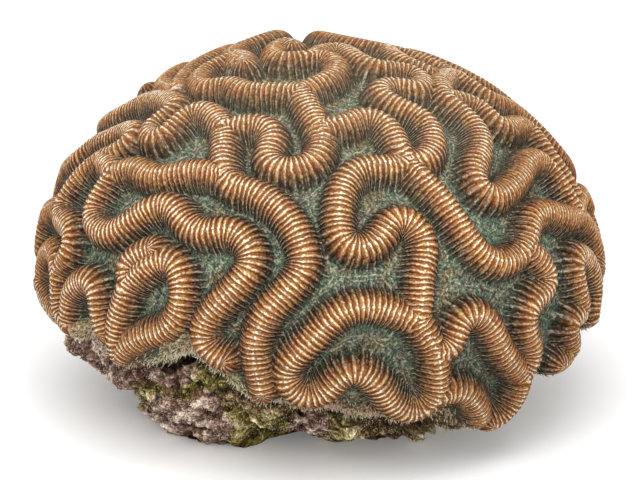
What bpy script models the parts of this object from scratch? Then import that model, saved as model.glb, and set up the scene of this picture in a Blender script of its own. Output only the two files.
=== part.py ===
"""Brain coral: one massive colony on the lump of reef rock that it grew over.

The colony is a low dome whose crest surface is an ellipsoid. Its ridges wander over that surface, and the
walls and valleys are cut in from it by their distance to the nearest ridge. Everything is in metres, +Z up,
with the origin on the ground below the dome's middle and the seen side towards -Y.
"""

import math

import bmesh
import bpy
import numpy as np
from mathutils import Vector, noise
from mathutils.kdtree import KDTree

# Driving dimensions of the colony
DOME_HALF_WIDTH = 0.095
DOME_HALF_DEPTH = 0.0915
DOME_RISE = 0.0766
DOME_LEAN = 0.0019
DOME_CENTRE_HEIGHT = 0.0468
RIDGE_HALF_WIDTH = 0.0066
VALLEY_DEPTH = 0.0064
VALLEY_SAG = 0.0009
WALL_ROUNDNESS = 2.2
WALL_STEEPNESS = 0.8
VALLEY_START = 0.8
LIP_RADIUS = 0.0045
LIP_INSET = 0.0060
LIP_SAG = 0.0002
MOUTH_RISE = 0.0015

# Broad swells of the dome: photo pixel, drop below the ellipsoid (a rise is negative), reach in degrees
SWELLS = (((118, 104), 0.0026, 15.0), ((286, 34), -0.0022, 8.0))

# Driving dimensions of the rock
SOCKET_RADIUS = 0.0580
SOCKET_TAPER = 0.20
GROWTH_GAP = 0.0003
NECK_GAP = 0.0009
SHELF_GAP = 0.0022
ROCK_LUMP = 0.0042
ROCK_LUMP_SIZE = 0.016
FOOT_BEVEL = 0.0012
SHELF_ROUNDING = 0.0030
SHELF_FALL = 0.0012
BELLY_LEVEL = 0.45
LUMP_FADE = 0.08

# The drawing sphere's latitude at the colony's lower edge, and shares of the way on from there to its pole
# for the inside of the lip, the mouth of the socket and its roof
LIP_LATITUDE = -42.0
UNDERSIDE_SHARES = (0.12, 0.35, 0.60)

# Shares of the way from the rock's top to its bottom for its neck, shelf, belly and foot
ROCK_SHARES = (0.22, 0.32, 0.38, 0.48, 0.60, 0.72, 0.75)

# Mesh budgets
CORAL_SUBDIVISIONS = 7
CORAL_KEEP = 0.101
ROCK_SUBDIVISIONS = 6
ROCK_KEEP = 0.070

# How the photograph sees the dome: pixels, and the real size of one at the dome's middle
PHOTO_SCALE = 0.095 / 287.0
PHOTO_CENTRE = (320.0, 268.0)
PHOTO_ELEVATION = math.radians(18.0)
PHOTO_DISTANCE = 1.2

# The flat plan that the unseen side is drawn on: equal-area, from behind and a little above, in photo pixels
PLAN_CENTRE = (450.0, 450.0)
PLAN_ELEVATION = math.radians(25.0)
PLAN_RADIUS = 287.0
PLAN_SWAY = 13.0
PLAN_SWAY_START = 300.0
PLAN_SWAY_RUN = 120.0

ROUTE_STEP = 0.0005
ROUTE_SMOOTHING = 30

# Crest lines. A route is one or more strokes, "photo" where the camera sees it and "plan" behind.
ROUTES = {
    "left crown hook": (
        ("plan", ((572, 690), (570, 655), (568, 610), (566, 565), (568, 530), (582, 508), (600, 490),
                  (620, 470), (640, 448), (655, 425), (668, 400), (682, 376), (692, 350), (700, 322),
                  (702, 292), (696, 264), (684, 240), (668, 216), (655, 189))),
        ("photo", ((150, 88), (164, 91), (171, 98), (166, 104), (157, 110), (149, 116), (143, 123),
                   (144, 129), (152, 132), (162, 126), (173, 116), (184, 107), (196, 103), (207, 106),
                   (215, 113), (222, 122))),
    ),
    "left upper finger": (
        ("plan", ((677, 685), (675, 645), (674, 605), (678, 572), (686, 549), (700, 529), (716, 509),
                  (734, 489), (750, 467), (764, 443), (776, 418), (782, 392), (778, 365), (770, 340),
                  (768, 312), (765, 285), (756, 262), (740, 243))),
        ("photo", ((100, 127), (112, 122), (122, 120), (128, 126), (123, 134), (113, 142), (104, 147),
                   (95, 151))),
    ),
    "left shoulder": (
        ("photo", ((95, 151), (84, 159), (73, 170), (64, 183), (57, 195), (53, 206), (53, 216),
                   (59, 221), (63, 230), (63, 242), (59, 254), (53, 265), (50, 278), (50, 292),
                   (51, 306), (55, 319), (62, 330))),
    ),
    "shoulder link": (
        ("photo", ((95, 151), (101, 159), (107, 168))),
    ),
    "left outer low": (
        ("photo", ((50, 279), (49, 267), (48, 256), (44, 248), (38, 253), (35, 265), (34, 279),
                   (36, 293), (41, 306), (50, 317))),
    ),
    "left main": (
        ("photo", ((222, 171), (211, 168), (200, 166), (188, 166), (175, 168), (162, 171), (150, 171),
                   (140, 168), (132, 163), (122, 163), (113, 166), (107, 168))),
    ),
    "brow": (
        ("photo", ((107, 168), (101, 177), (95, 187), (89, 197), (85, 208), (85, 218), (91, 227),
                   (100, 230), (110, 228), (120, 222), (130, 214), (140, 207), (150, 203), (160, 201),
                   (169, 204), (175, 212), (182, 221), (191, 227), (202, 229), (213, 228), (224, 227),
                   (234, 230), (243, 238), (249, 248), (250, 259), (247, 269), (241, 277), (234, 285),
                   (226, 294), (217, 303), (209, 312), (202, 322), (198, 333), (199, 344), (205, 353),
                   (213, 359), (221, 363))),
    ),
    "great diagonal": (
        ("photo", ((222, 171), (230, 180), (241, 184), (252, 187), (263, 193), (273, 200), (282, 208),
                   (289, 217), (295, 227), (300, 238), (304, 250), (305, 261), (302, 271), (296, 280),
                   (287, 290), (277, 300), (268, 310), (261, 321), (256, 333), (253, 346), (253, 359),
                   (255, 372), (259, 384), (261, 396))),
    ),
    "left upright": (
        ("photo", ((222, 122), (221, 135), (220, 148), (220, 160), (222, 171))),
    ),
    "crown loop": (
        ("photo", ((222, 122), (235, 119), (250, 117), (263, 119), (271, 128), (270, 138), (266, 147),
                   (268, 156), (276, 162), (287, 164), (299, 162), (310, 158), (318, 150), (322, 139),
                   (322, 129), (320, 121))),
    ),
    "crown drop": (
        ("photo", ((300, 85), (305, 94), (310, 104), (315, 113), (320, 121))),
    ),
    "crown arm": (
        ("photo", ((320, 121), (332, 120), (346, 117), (360, 111), (372, 110), (384, 115), (393, 124),
                   (399, 135), (403, 146), (410, 157))),
    ),
    "crown left": (
        ("photo", ((300, 85), (285, 84), (268, 84), (251, 84), (240, 82), (229, 77), (216, 78),
                   (203, 80), (195, 76), (195, 69), (202, 63), (212, 58), (224, 53), (235, 49),
                   (242, 52), (243, 58))),
    ),
    "crown curl": (
        ("photo", ((300, 85), (309, 80), (320, 76), (331, 70), (338, 62), (335, 54), (325, 50),
                   (312, 50), (299, 51), (287, 52), (277, 51), (272, 47), (276, 41), (285, 38),
                   (293, 40))),
    ),
    "crown ribbon": (
        ("photo", ((313, 49), (322, 44), (333, 42), (344, 43), (354, 49), (365, 55), (378, 60),
                   (392, 61), (406, 63), (418, 67), (426, 74), (421, 82), (408, 80), (395, 78),
                   (384, 80), (382, 87), (391, 94), (403, 100), (415, 105), (426, 112), (434, 122),
                   (437, 134), (435, 146), (427, 154), (418, 157), (410, 157))),
    ),
    "crown back low": (
        ("photo", ((388, 43), (398, 50), (410, 57), (422, 62), (433, 66))),
    ),
    "crown top": (
        ("plan", ((541, 140), (549, 162), (545, 187), (530, 205), (508, 212), (492, 225), (488, 250),
                  (490, 278), (492, 305), (485, 335), (462, 352), (435, 352), (408, 350), (380, 352),
                  (352, 345), (330, 328), (312, 308), (298, 294), (282, 296), (270, 312), (260, 332),
                  (244, 350), (236, 372), (242, 400), (248, 435), (250, 475), (250, 520), (252, 565),
                  (254, 610), (255, 660), (256, 690))),
    ),
    "crown back": (
        ("plan", ((286, 186), (298, 190), (312, 190), (330, 191), (350, 192), (372, 187), (395, 188),
                  (418, 197), (438, 212), (446, 238), (444, 264), (432, 288), (410, 300), (385, 300),
                  (362, 288), (350, 265), (338, 246), (320, 239), (298, 240), (275, 248), (255, 262),
                  (240, 280), (222, 298), (200, 308), (186, 325), (184, 350), (192, 375), (205, 396))),
    ),
    "crown rim": (
        ("plan", ((626, 150), (614, 172), (600, 190), (582, 203), (566, 213), (552, 226), (542, 248),
                  (539, 275), (540, 302), (537, 332), (526, 357), (508, 381), (486, 397), (460, 403),
                  (430, 402), (400, 404), (375, 405), (350, 400), (325, 400), (306, 414), (300, 445),
                  (302, 490), (300, 540), (300, 590), (302, 640), (302, 690))),
    ),
    "crown knob": (
        ("plan", ((628, 153), (633, 177), (636, 200), (630, 225), (612, 245), (598, 268), (592, 295),
                  (590, 320), (582, 348), (572, 374), (558, 400), (538, 420), (514, 436), (490, 447),
                  (470, 462), (464, 490), (468, 525), (470, 575), (465, 630), (462, 685))),
    ),
    "heart": (
        ("photo", ((410, 157), (396, 161), (381, 161), (366, 162), (355, 167), (347, 176), (342, 188),
                   (340, 201), (339, 214), (340, 227), (342, 237), (349, 244), (358, 247), (367, 246),
                   (376, 241), (384, 233), (390, 224), (397, 216), (406, 215), (415, 219), (423, 228),
                   (428, 240), (428, 253), (426, 266), (424, 279), (424, 292), (423, 306), (421, 321))),
    ),
    "right diagonal": (
        ("photo", ((410, 157), (419, 167), (429, 178), (439, 188), (448, 199), (456, 210), (464, 222),
                   (472, 234), (480, 245), (489, 254), (500, 260), (511, 261), (521, 257), (529, 250),
                   (534, 241), (537, 229), (539, 217), (546, 209), (556, 208), (566, 211), (576, 214),
                   (585, 212))),
    ),
    "right tall": (
        ("photo", ((461, 70), (450, 69), (444, 76), (446, 86), (454, 96), (464, 104), (473, 112),
                   (481, 121), (486, 132), (486, 145), (482, 157), (480, 169), (483, 180), (491, 189),
                   (502, 192), (512, 187), (521, 179), (528, 169), (533, 159), (540, 153), (549, 156),
                   (557, 164), (564, 174), (571, 185), (577, 196), (582, 206), (585, 212))),
    ),
    "right inner finger": (
        ("photo", ((451, 90), (461, 92), (472, 95), (483, 100), (492, 108), (501, 116), (511, 121),
                   (522, 119), (532, 121), (540, 129), (547, 138), (554, 148), (562, 159), (570, 170),
                   (577, 182), (583, 194))),
    ),
    "right outer top": (
        ("plan", ((286, 186), (268, 188), (250, 190), (234, 196), (222, 212), (212, 232), (198, 250),
                  (178, 266), (155, 284), (138, 308), (134, 340), (142, 370))),
    ),
    "right knuckle": (
        ("plan", ((72, 272), (86, 300), (92, 330), (90, 362))),
    ),
    "right rim": (
        ("photo", ((585, 212), (593, 220), (599, 231), (603, 243), (606, 256), (606, 268))),
    ),
    "right finger": (
        ("plan", ((-10, 640), (-12, 600), (-16, 550), (-14, 510))),
        ("photo", ((599, 325), (601, 311), (603, 297), (603, 282), (600, 268), (594, 257), (586, 254),
                   (583, 263), (585, 276), (587, 290), (590, 303), (590, 314), (582, 319), (578, 328),
                   (579, 340), (580, 352), (575, 362), (565, 368))),
    ),
    "right descent": (
        ("photo", ((534, 243), (541, 253), (549, 261), (555, 272), (556, 283), (551, 292), (543, 299),
                   (537, 308), (534, 320), (535, 332), (538, 344), (540, 356), (537, 367), (529, 379))),
    ),
    "right bracket": (
        ("photo", ((439, 356), (449, 354), (457, 347), (461, 336), (465, 325), (472, 317), (481, 315),
                   (490, 319), (497, 329), (503, 341), (508, 352), (514, 362), (521, 371), (529, 379))),
    ),
    "right hem": (
        ("photo", ((529, 379), (527, 391), (522, 403), (515, 414), (506, 423), (496, 428))),
    ),
    "hem lobe": (
        ("photo", ((441, 403), (451, 398), (461, 396), (470, 398), (478, 405), (484, 414), (485, 424))),
    ),
    "stem": (
        ("photo", ((421, 321), (427, 332), (434, 344), (439, 356), (441, 370), (442, 384), (441, 397),
                   (434, 408), (424, 415), (412, 418), (401, 414), (392, 406), (385, 396), (377, 386),
                   (367, 379), (355, 375), (344, 379), (336, 386), (328, 394), (318, 400), (306, 402),
                   (294, 397), (286, 388), (284, 377), (288, 366), (296, 357), (305, 348), (314, 339),
                   (323, 329), (333, 320), (344, 312), (356, 308), (369, 307), (382, 308), (394, 311),
                   (405, 316), (421, 321))),
    ),
    "left low finger": (
        ("photo", ((60, 328), (60, 314), (61, 300), (65, 289), (73, 282), (81, 280), (87, 287),
                   (90, 298), (91, 310), (93, 322), (97, 334))),
    ),
    "ring top": (
        ("photo", ((124, 281), (119, 274), (121, 265), (127, 257), (136, 251), (147, 248))),
    ),
    "ring": (
        ("photo", ((113, 360), (109, 347), (109, 333), (111, 319), (115, 305), (119, 292), (124, 281),
                   (131, 275), (140, 267), (150, 260), (161, 258), (170, 262), (175, 272), (177, 284),
                   (177, 296), (175, 309), (170, 321), (162, 330), (151, 335), (139, 338), (128, 343),
                   (119, 350), (113, 360))),
    ),
    "back left arch": (
        ("plan", ((42, 640), (38, 590), (36, 540), (40, 490), (55, 450), (80, 425), (110, 415),
                  (150, 420), (185, 440), (200, 475), (202, 520), (198, 570), (196, 620), (200, 680))),
    ),
    "back left inner": (
        ("plan", ((95, 655), (92, 600), (88, 550), (95, 505), (118, 480), (142, 490), (150, 525),
                  (148, 570), (145, 620), (148, 670))),
    ),
    "back middle arch": (
        ("plan", ((354, 690), (354, 640), (352, 590), (350, 540), (352, 495), (362, 462), (385, 450),
                  (408, 460), (418, 490), (416, 530), (412, 575), (410, 620), (408, 665), (408, 690))),
    ),
    "back long finger": (
        ("plan", ((516, 690), (518, 640), (520, 590), (518, 545), (525, 508), (548, 482), (572, 462),
                  (592, 440), (607, 412), (618, 385), (628, 358), (638, 330), (644, 305), (645, 282))),
    ),
    "back short finger": (
        ("plan", ((724, 388), (722, 412), (710, 436), (697, 458), (682, 478), (666, 497), (650, 514),
                  (634, 530), (622, 552), (620, 590), (622, 635), (625, 685))),
    ),
    "shoulder descent": (
        ("plan", ((822, 282), (826, 308), (826, 335), (830, 362), (835, 390), (832, 418), (822, 444),
                  (808, 470), (792, 494), (776, 516), (758, 536), (742, 556), (731, 580), (728, 615),
                  (728, 650), (730, 680))),
    ),
    "flank inner": (
        ("plan", ((868, 440), (874, 466), (866, 492), (852, 515), (834, 536), (816, 554), (798, 572),
                  (786, 594), (782, 622), (782, 650), (784, 672))),
    ),
    "flank middle": (
        ("plan", ((915, 455), (920, 485), (908, 512), (890, 538), (870, 560), (852, 582), (840, 606),
                  (836, 635), (838, 655))),
    ),
    "flank outer": (
        ("plan", ((965, 420), (972, 450), (970, 480), (960, 510), (945, 538), (925, 562), (905, 585),
                  (893, 610), (890, 640))),
    ),
}

# The colony's lower edge where the photograph shows it, left to right, and the unseen rest of it by azimuth:
# degrees from the seen side towards +X, and the drop below the dome's middle
EDGE_SEEN = (
    (36, 298), (43, 309), (51, 320), (62, 333), (78, 330), (86, 340), (92, 350), (98, 354), (106, 352),
    (112, 364), (122, 369), (136, 364), (150, 357), (165, 354), (180, 348), (196, 350), (204, 362),
    (214, 374), (222, 388), (232, 398), (242, 405), (254, 411), (266, 408), (278, 402), (288, 408),
    (300, 414), (314, 413), (326, 408), (336, 416), (352, 424), (366, 426), (376, 421), (388, 420),
    (400, 424), (416, 424), (430, 419), (441, 412), (452, 414), (462, 424), (472, 433), (482, 434),
    (492, 431), (502, 430), (512, 426), (520, 416), (526, 404), (531, 395), (545, 390), (552, 381),
    (557, 373), (566, 370), (576, 362), (580, 350), (583, 341), (592, 333), (597, 323),
)
EDGE_UNSEEN = (
    (96.0, 0.0150), (108.0, 0.0185), (122.0, 0.0215), (138.0, 0.0235), (154.0, 0.0225), (168.0, 0.0240),
    (183.0, 0.0225), (198.0, 0.0240), (214.0, 0.0225), (230.0, 0.0210), (246.0, 0.0185), (260.0, 0.0145),
)
EDGE_CURL = 0.0040
EDGE_STEP = 3.0
EDGE_BLUR = (-3.0, -1.5, 0.0, 1.5, 3.0)

# The rock by azimuth: radius of its shelf and its drop below the colony, radius of its belly and of its foot
ROCK_OUTLINE = (
    (-180.0, 0.0720, 0.0060, 0.0610, 0.0480), (-135.0, 0.0740, 0.0070, 0.0620, 0.0520),
    (-105.0, 0.0800, 0.0120, 0.0635, 0.0530), (-86.0, 0.0845, 0.0150, 0.0620, 0.0555),
    (-72.0, 0.0790, 0.0150, 0.0620, 0.0585), (-58.0, 0.0765, 0.0140, 0.0625, 0.0580),
    (-42.0, 0.0770, 0.0120, 0.0640, 0.0560), (-30.0, 0.0740, 0.0120, 0.0620, 0.0530),
    (-21.0, 0.0720, 0.0080, 0.0530, 0.0370), (-12.0, 0.0690, 0.0060, 0.0470, 0.0310),
    (-3.0, 0.0690, 0.0050, 0.0490, 0.0360), (9.0, 0.0690, 0.0050, 0.0520, 0.0420),
    (18.0, 0.0670, 0.0045, 0.0510, 0.0385), (28.0, 0.0610, 0.0040, 0.0510, 0.0430),
    (42.0, 0.0545, 0.0030, 0.0450, 0.0365), (70.0, 0.0600, 0.0030, 0.0480, 0.0390),
    (95.0, 0.0700, 0.0050, 0.0590, 0.0450), (135.0, 0.0710, 0.0060, 0.0600, 0.0475),
)

CENTRE = Vector((0.0, 0.0, DOME_CENTRE_HEIGHT))
DOME = np.array([[DOME_HALF_WIDTH, 0.0, -DOME_LEAN],
                 [0.0, DOME_HALF_DEPTH, 0.0],
                 [0.0, 0.0, DOME_RISE]])
DOME_INVERSE = np.linalg.inv(DOME)


def unit(vector):
    """Return the vector with a length of one."""
    return vector / np.linalg.norm(vector)


def photo_direction(x, y):
    """Return where the photo's pixel meets the crest ellipsoid, as a point of the unit sphere."""
    cos_e, sin_e = math.cos(PHOTO_ELEVATION), math.sin(PHOTO_ELEVATION)
    forward = np.array([0.0, cos_e, -sin_e])
    up = np.array([0.0, sin_e, cos_e])
    right = np.array([1.0, 0.0, 0.0])
    ray = forward * PHOTO_DISTANCE / PHOTO_SCALE + right * (x - PHOTO_CENTRE[0]) + up * (PHOTO_CENTRE[1] - y)
    start = DOME_INVERSE @ (-forward * PHOTO_DISTANCE)
    ray = DOME_INVERSE @ ray
    a, b, c = ray @ ray, start @ ray, start @ start - 1.0
    root = b * b - a * c
    reach = (-b - math.sqrt(root)) / a if root > 0.0 else -b / a
    return unit(start + ray * reach)


def plan_direction(x, y):
    """Return where a point of the plan lies on the dome, as a point of the unit sphere.

    Below the crown the drawn lines sway together, as ridges that grow side by side do.
    """
    ramp = min(max((y - PLAN_SWAY_START) / PLAN_SWAY_RUN, 0.0), 1.0)
    sway_x = PLAN_SWAY * ramp * math.sin(y / 24.0 + x / 95.0)
    sway_y = PLAN_SWAY * ramp * 0.5 * math.sin(x / 31.0)
    across = (x + sway_x - PLAN_CENTRE[0]) / PLAN_RADIUS
    upward = (PLAN_CENTRE[1] - y - sway_y) / PLAN_RADIUS
    reach = across * across + upward * upward
    cos_e, sin_e = math.cos(PLAN_ELEVATION), math.sin(PLAN_ELEVATION)
    middle = np.array([0.0, cos_e, sin_e])
    right = np.array([-1.0, 0.0, 0.0])
    up = np.array([0.0, -sin_e, cos_e])
    side = math.sqrt(max(0.0, 1.0 - reach / 4.0))
    return middle * (1.0 - reach / 2.0) + (right * across + up * upward) * side


def smooth_route(strokes):
    """Return closely spaced points along one ridge, on the crest ellipsoid about the dome's middle."""
    convert = {"photo": photo_direction, "plan": plan_direction}
    stops = np.array([convert[kind](x, y) for kind, points in strokes for x, y in points]) @ DOME.T
    padded = np.vstack([stops[:1], stops, stops[-1:]])
    line = []
    for before, start, end, after in zip(padded[:-3], padded[1:-2], padded[2:-1], padded[3:]):
        count = max(2, int(np.linalg.norm(end - start) / ROUTE_STEP))
        t = (np.arange(count) / count)[:, None]
        line.append(0.5 * (2.0 * start + (end - before) * t
                           + (2.0 * before - 5.0 * start + 4.0 * end - after) * t * t
                           + (3.0 * start - before - 3.0 * end + after) * t ** 3))
    line = np.vstack(line + [stops[-1:]])
    for _ in range(ROUTE_SMOOTHING):
        line[1:-1] = 0.25 * line[:-2] + 0.5 * line[1:-1] + 0.25 * line[2:]
    return line / np.linalg.norm(line @ DOME_INVERSE.T, axis=1)[:, None]


def ridge_tree():
    """Return a search tree of every ridge's crest points."""
    points = np.vstack([smooth_route(strokes) for strokes in ROUTES.values()])
    tree = KDTree(len(points))
    for index, point in enumerate(points):
        tree.insert(point, index)
    tree.balance()
    return tree


def relief(distance):
    """Return how far the surface lies below the crest at a distance from the nearest crest line."""
    share = min(distance / RIDGE_HALF_WIDTH, 1.0)
    wall = 1.0 - (1.0 - share ** WALL_ROUNDNESS) ** WALL_STEEPNESS
    beyond = min(max(distance / RIDGE_HALF_WIDTH - VALLEY_START, 0.0), 1.0)
    return VALLEY_DEPTH * wall + VALLEY_SAG * beyond


def swell(sphere):
    """Return how far the dome itself lies below the ellipsoid at a point of the unit sphere."""
    drop = 0.0
    for (x, y), depth, reach in SWELLS:
        away = math.degrees(math.acos(min(1.0, float(photo_direction(x, y) @ sphere))))
        drop += depth * math.exp(-(away / reach) ** 2)
    return drop


def azimuth_of(x, y):
    """Return the azimuth in degrees, 0 at the seen side (-Y) and positive towards +X."""
    return math.degrees(math.atan2(x, -y))


def around(table, azimuth, column=1):
    """Return a table's value at an azimuth, eased between its rows and joined end to end."""
    angles = [row[0] for row in table]
    turn = (azimuth - angles[0]) % 360.0 + angles[0]
    for index, low in enumerate(angles):
        high = angles[index + 1] if index + 1 < len(table) else angles[0] + 360.0
        if low <= turn <= high:
            share = (turn - low) / (high - low)
            ease = share * share * (3.0 - 2.0 * share)
            following = table[(index + 1) % len(table)][column]
            return table[index][column] * (1.0 - ease) + following * ease
    return table[0][column]


def edge_table():
    """Return the lower edge as rows of azimuth and height relative to the dome's middle."""
    rows = []
    for x, y in EDGE_SEEN:
        point = photo_direction(x, y)
        rows.append((azimuth_of(point[0], point[1]), point[2] * DOME_RISE - EDGE_CURL))
    rows += [(azimuth, -drop) for azimuth, drop in EDGE_UNSEEN]
    rows = sorted(rows)
    azimuths = np.arange(-180.0, 180.0, EDGE_STEP)
    return [(turn, sum(around(rows, turn + shift) for shift in EDGE_BLUR) / len(EDGE_BLUR))
            for turn in azimuths]


def socket_radius(height):
    """Return the radius of the rock's neck inside the colony at a height relative to the dome's middle."""
    return SOCKET_RADIUS + SOCKET_TAPER * min(height, 0.0)


def along(stops, share):
    """Return the radius and height at a share of the way along a profile of (share, radius, height) stops."""
    for (start, r0, z0), (end, r1, z1) in zip(stops[:-1], stops[1:]):
        if share <= end:
            t = (share - start) / (end - start)
            return r0 + (r1 - r0) * t, z0 + (z1 - z0) * t
    return stops[-1][1], stops[-1][2]


def coral_point(direction, tree, edge):
    """Return where a point of the unit sphere goes on the colony, relative to the dome's middle."""
    azimuth = azimuth_of(direction.x, direction.y)
    heading = Vector((math.sin(math.radians(azimuth)), -math.cos(math.radians(azimuth)), 0.0))
    latitude = math.degrees(math.asin(max(-1.0, min(1.0, direction.z))))
    rim_height = around(edge, azimuth)
    rim_latitude = math.degrees(math.asin(rim_height / DOME_RISE))
    turned = max(latitude, LIP_LATITUDE)
    share = (turned - LIP_LATITUDE) / (90.0 - LIP_LATITUDE)
    angle = math.radians(rim_latitude + share * (90.0 - rim_latitude))
    sphere = np.array([heading.x * math.cos(angle), heading.y * math.cos(angle), math.sin(angle)])
    crest = Vector(DOME @ sphere)
    normal = Vector(DOME_INVERSE.T @ sphere).normalized()
    depth = relief(tree.find(crest)[2]) + swell(sphere)
    lip = min((angle - math.radians(rim_latitude)) * DOME_RISE / LIP_RADIUS, 1.0)
    depth += LIP_RADIUS * (1.0 - math.sqrt(1.0 - (1.0 - lip) ** 2))
    skin = crest - normal * depth
    if latitude >= LIP_LATITUDE:
        return skin
    heading = Vector((skin.x, skin.y, 0.0)).normalized()
    rim_radius = math.hypot(skin.x, skin.y)
    neck = socket_radius(rim_height) + NECK_GAP
    inside, mouth, roof = UNDERSIDE_SHARES
    stops = ((0.0, rim_radius, skin.z),
             (inside, rim_radius - LIP_INSET, rim_height - LIP_SAG),
             (mouth, neck, rim_height + MOUTH_RISE),
             (roof, socket_radius(0.0) + NECK_GAP, GROWTH_GAP),
             (1.0, 0.0, GROWTH_GAP))
    radius, height = along(stops, (LIP_LATITUDE - latitude) / (90.0 + LIP_LATITUDE))
    return Vector((heading.x * radius, heading.y * radius, height))


def rock_point(direction, edge):
    """Return where a point of the unit sphere goes on the rock, relative to the dome's middle."""
    azimuth = azimuth_of(direction.x, direction.y)
    heading = Vector((math.sin(math.radians(azimuth)), -math.cos(math.radians(azimuth)), 0.0))
    share = math.degrees(math.acos(max(-1.0, min(1.0, direction.z)))) / 180.0
    shelf = around(ROCK_OUTLINE, azimuth, 1)
    drop = around(ROCK_OUTLINE, azimuth, 2)
    belly = around(ROCK_OUTLINE, azimuth, 3)
    foot = around(ROCK_OUTLINE, azimuth, 4)
    top = around(edge, azimuth) - SHELF_GAP
    ground = -DOME_CENTRE_HEIGHT
    neck_top, neck_foot, shelf_top, shelf_low, belly_low, foot_top, foot_low = ROCK_SHARES
    stops = ((0.0, 0.0, 0.0),
             (neck_top, socket_radius(0.0), 0.0),
             (neck_foot, socket_radius(top), top),
             (shelf_top, max(shelf - SHELF_ROUNDING, socket_radius(top)), top - SHELF_FALL),
             (shelf_low, shelf, top - drop),
             (belly_low, belly, BELLY_LEVEL * (top - drop) + (1.0 - BELLY_LEVEL) * ground),
             (foot_top, foot, ground + FOOT_BEVEL),
             (foot_low, foot - FOOT_BEVEL, ground),
             (1.0, 0.0, ground))
    radius, height = along(stops, share)
    rough = min(max((share - shelf_top) / LUMP_FADE, 0.0), 1.0)
    rough *= min(max((foot_top - share) / LUMP_FADE, 0.0), 1.0)
    point = Vector((heading.x * radius, heading.y * radius, height))
    lump = noise.noise(point / ROCK_LUMP_SIZE) + 0.5 * noise.noise(point / (0.45 * ROCK_LUMP_SIZE))
    push = heading * (ROCK_LUMP * lump * rough)
    return point + push


def solid(name, subdivisions, place, keep, material, collection):
    """Make one closed body by moving the points of an icosphere and thinning its faces."""
    mesh = bpy.data.meshes.new(name)
    form = bmesh.new()
    bmesh.ops.create_icosphere(form, subdivisions=subdivisions, radius=1.0)
    for vertex in form.verts:
        vertex.co = place(vertex.co.normalized()) + CENTRE
    form.to_mesh(mesh)
    form.free()
    mesh.shade_smooth()
    mesh.materials.append(material)
    body = bpy.data.objects.new(name, mesh)
    collection.objects.link(body)
    thin = body.modifiers.new("thin faces", "DECIMATE")
    thin.ratio = keep
    return body


def surface(name, colour, roughness):
    """Make a plain material."""
    material = bpy.data.materials.new(name)
    material.use_nodes = True
    shader = material.node_tree.nodes["Principled BSDF"]
    shader.inputs["Base Color"].default_value = (*colour, 1.0)
    shader.inputs["Roughness"].default_value = roughness
    shader.inputs["Metallic"].default_value = 0.0
    return material


def main():
    """Build the colony and its rock."""
    for old in list(bpy.data.objects):
        bpy.data.objects.remove(old, do_unlink=True)
    collection = bpy.data.collections.new("brain coral")
    bpy.context.scene.collection.children.link(collection)
    tree = ridge_tree()
    edge = edge_table()
    skin = surface("living coral", (0.46, 0.22, 0.07), 0.62)
    crust = surface("encrusted rock", (0.22, 0.17, 0.15), 0.85)
    solid("coral", CORAL_SUBDIVISIONS, lambda way: coral_point(way, tree, edge), CORAL_KEEP, skin, collection)
    solid("base_rock", ROCK_SUBDIVISIONS, lambda way: rock_point(way, edge), ROCK_KEEP, crust, collection)


main()
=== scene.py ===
import logging
import math
from collections.abc import Sequence
from dataclasses import dataclass, field, fields
from enum import Enum
from functools import reduce

import bmesh
import bpy
import numpy as np
from mathutils import Matrix, Vector, noise
from mathutils.kdtree import KDTree


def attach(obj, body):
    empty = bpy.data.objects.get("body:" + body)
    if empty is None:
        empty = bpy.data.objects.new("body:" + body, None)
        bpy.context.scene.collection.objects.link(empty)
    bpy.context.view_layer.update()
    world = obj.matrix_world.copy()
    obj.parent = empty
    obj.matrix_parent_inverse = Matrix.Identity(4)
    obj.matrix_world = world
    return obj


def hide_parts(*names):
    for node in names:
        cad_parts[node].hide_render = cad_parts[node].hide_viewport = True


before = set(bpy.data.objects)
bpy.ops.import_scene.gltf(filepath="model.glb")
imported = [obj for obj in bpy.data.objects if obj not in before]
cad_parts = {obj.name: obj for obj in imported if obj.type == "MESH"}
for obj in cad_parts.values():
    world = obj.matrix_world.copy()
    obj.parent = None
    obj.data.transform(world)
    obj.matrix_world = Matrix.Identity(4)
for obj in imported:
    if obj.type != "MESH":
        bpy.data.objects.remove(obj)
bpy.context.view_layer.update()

LOG = logging.getLogger("brain coral")

# Sizes of the colony, the same as in the solids
DOME_HALF_WIDTH = 0.095
DOME_HALF_DEPTH = 0.0915
DOME_RISE = 0.0766
DOME_LEAN = 0.0019
DOME_CENTRE_HEIGHT = 0.0468
RIDGE_HALF_WIDTH = 0.0066
VALLEY_DEPTH = 0.0064
VALLEY_SAG = 0.0009
WALL_ROUNDNESS = 2.2
WALL_STEEPNESS = 0.8
VALLEY_START = 0.8
LIP_RADIUS = 0.0045
LIP_INSET = 0.0060
LIP_SAG = 0.0002
MOUTH_RISE = 0.0015
UNDERSIDE_SHARES = (0.12, 0.35, 0.60)
ROCK_SHARES = (0.22, 0.32, 0.38, 0.48, 0.60, 0.72, 0.75)
SOCKET_RADIUS = 0.0580
SOCKET_TAPER = 0.20
GROWTH_GAP = 0.0003
NECK_GAP = 0.0009
SHELF_GAP = 0.0022
ROCK_LUMP = 0.0042
ROCK_LUMP_SIZE = 0.016
FOOT_BEVEL = 0.0012
SHELF_ROUNDING = 0.0030
SHELF_FALL = 0.0012
BELLY_LEVEL = 0.45
LUMP_FADE = 0.08
EDGE_CURL = 0.0040
EDGE_STEP = 3.0
EDGE_BLUR = (-3.0, -1.5, 0.0, 1.5, 3.0)

# Broad swells of the dome: photo pixel, drop below the ellipsoid (a rise is negative), reach in degrees
SWELLS = (((118, 104), 0.0026, 15.0), ((286, 34), -0.0022, 8.0))

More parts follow.
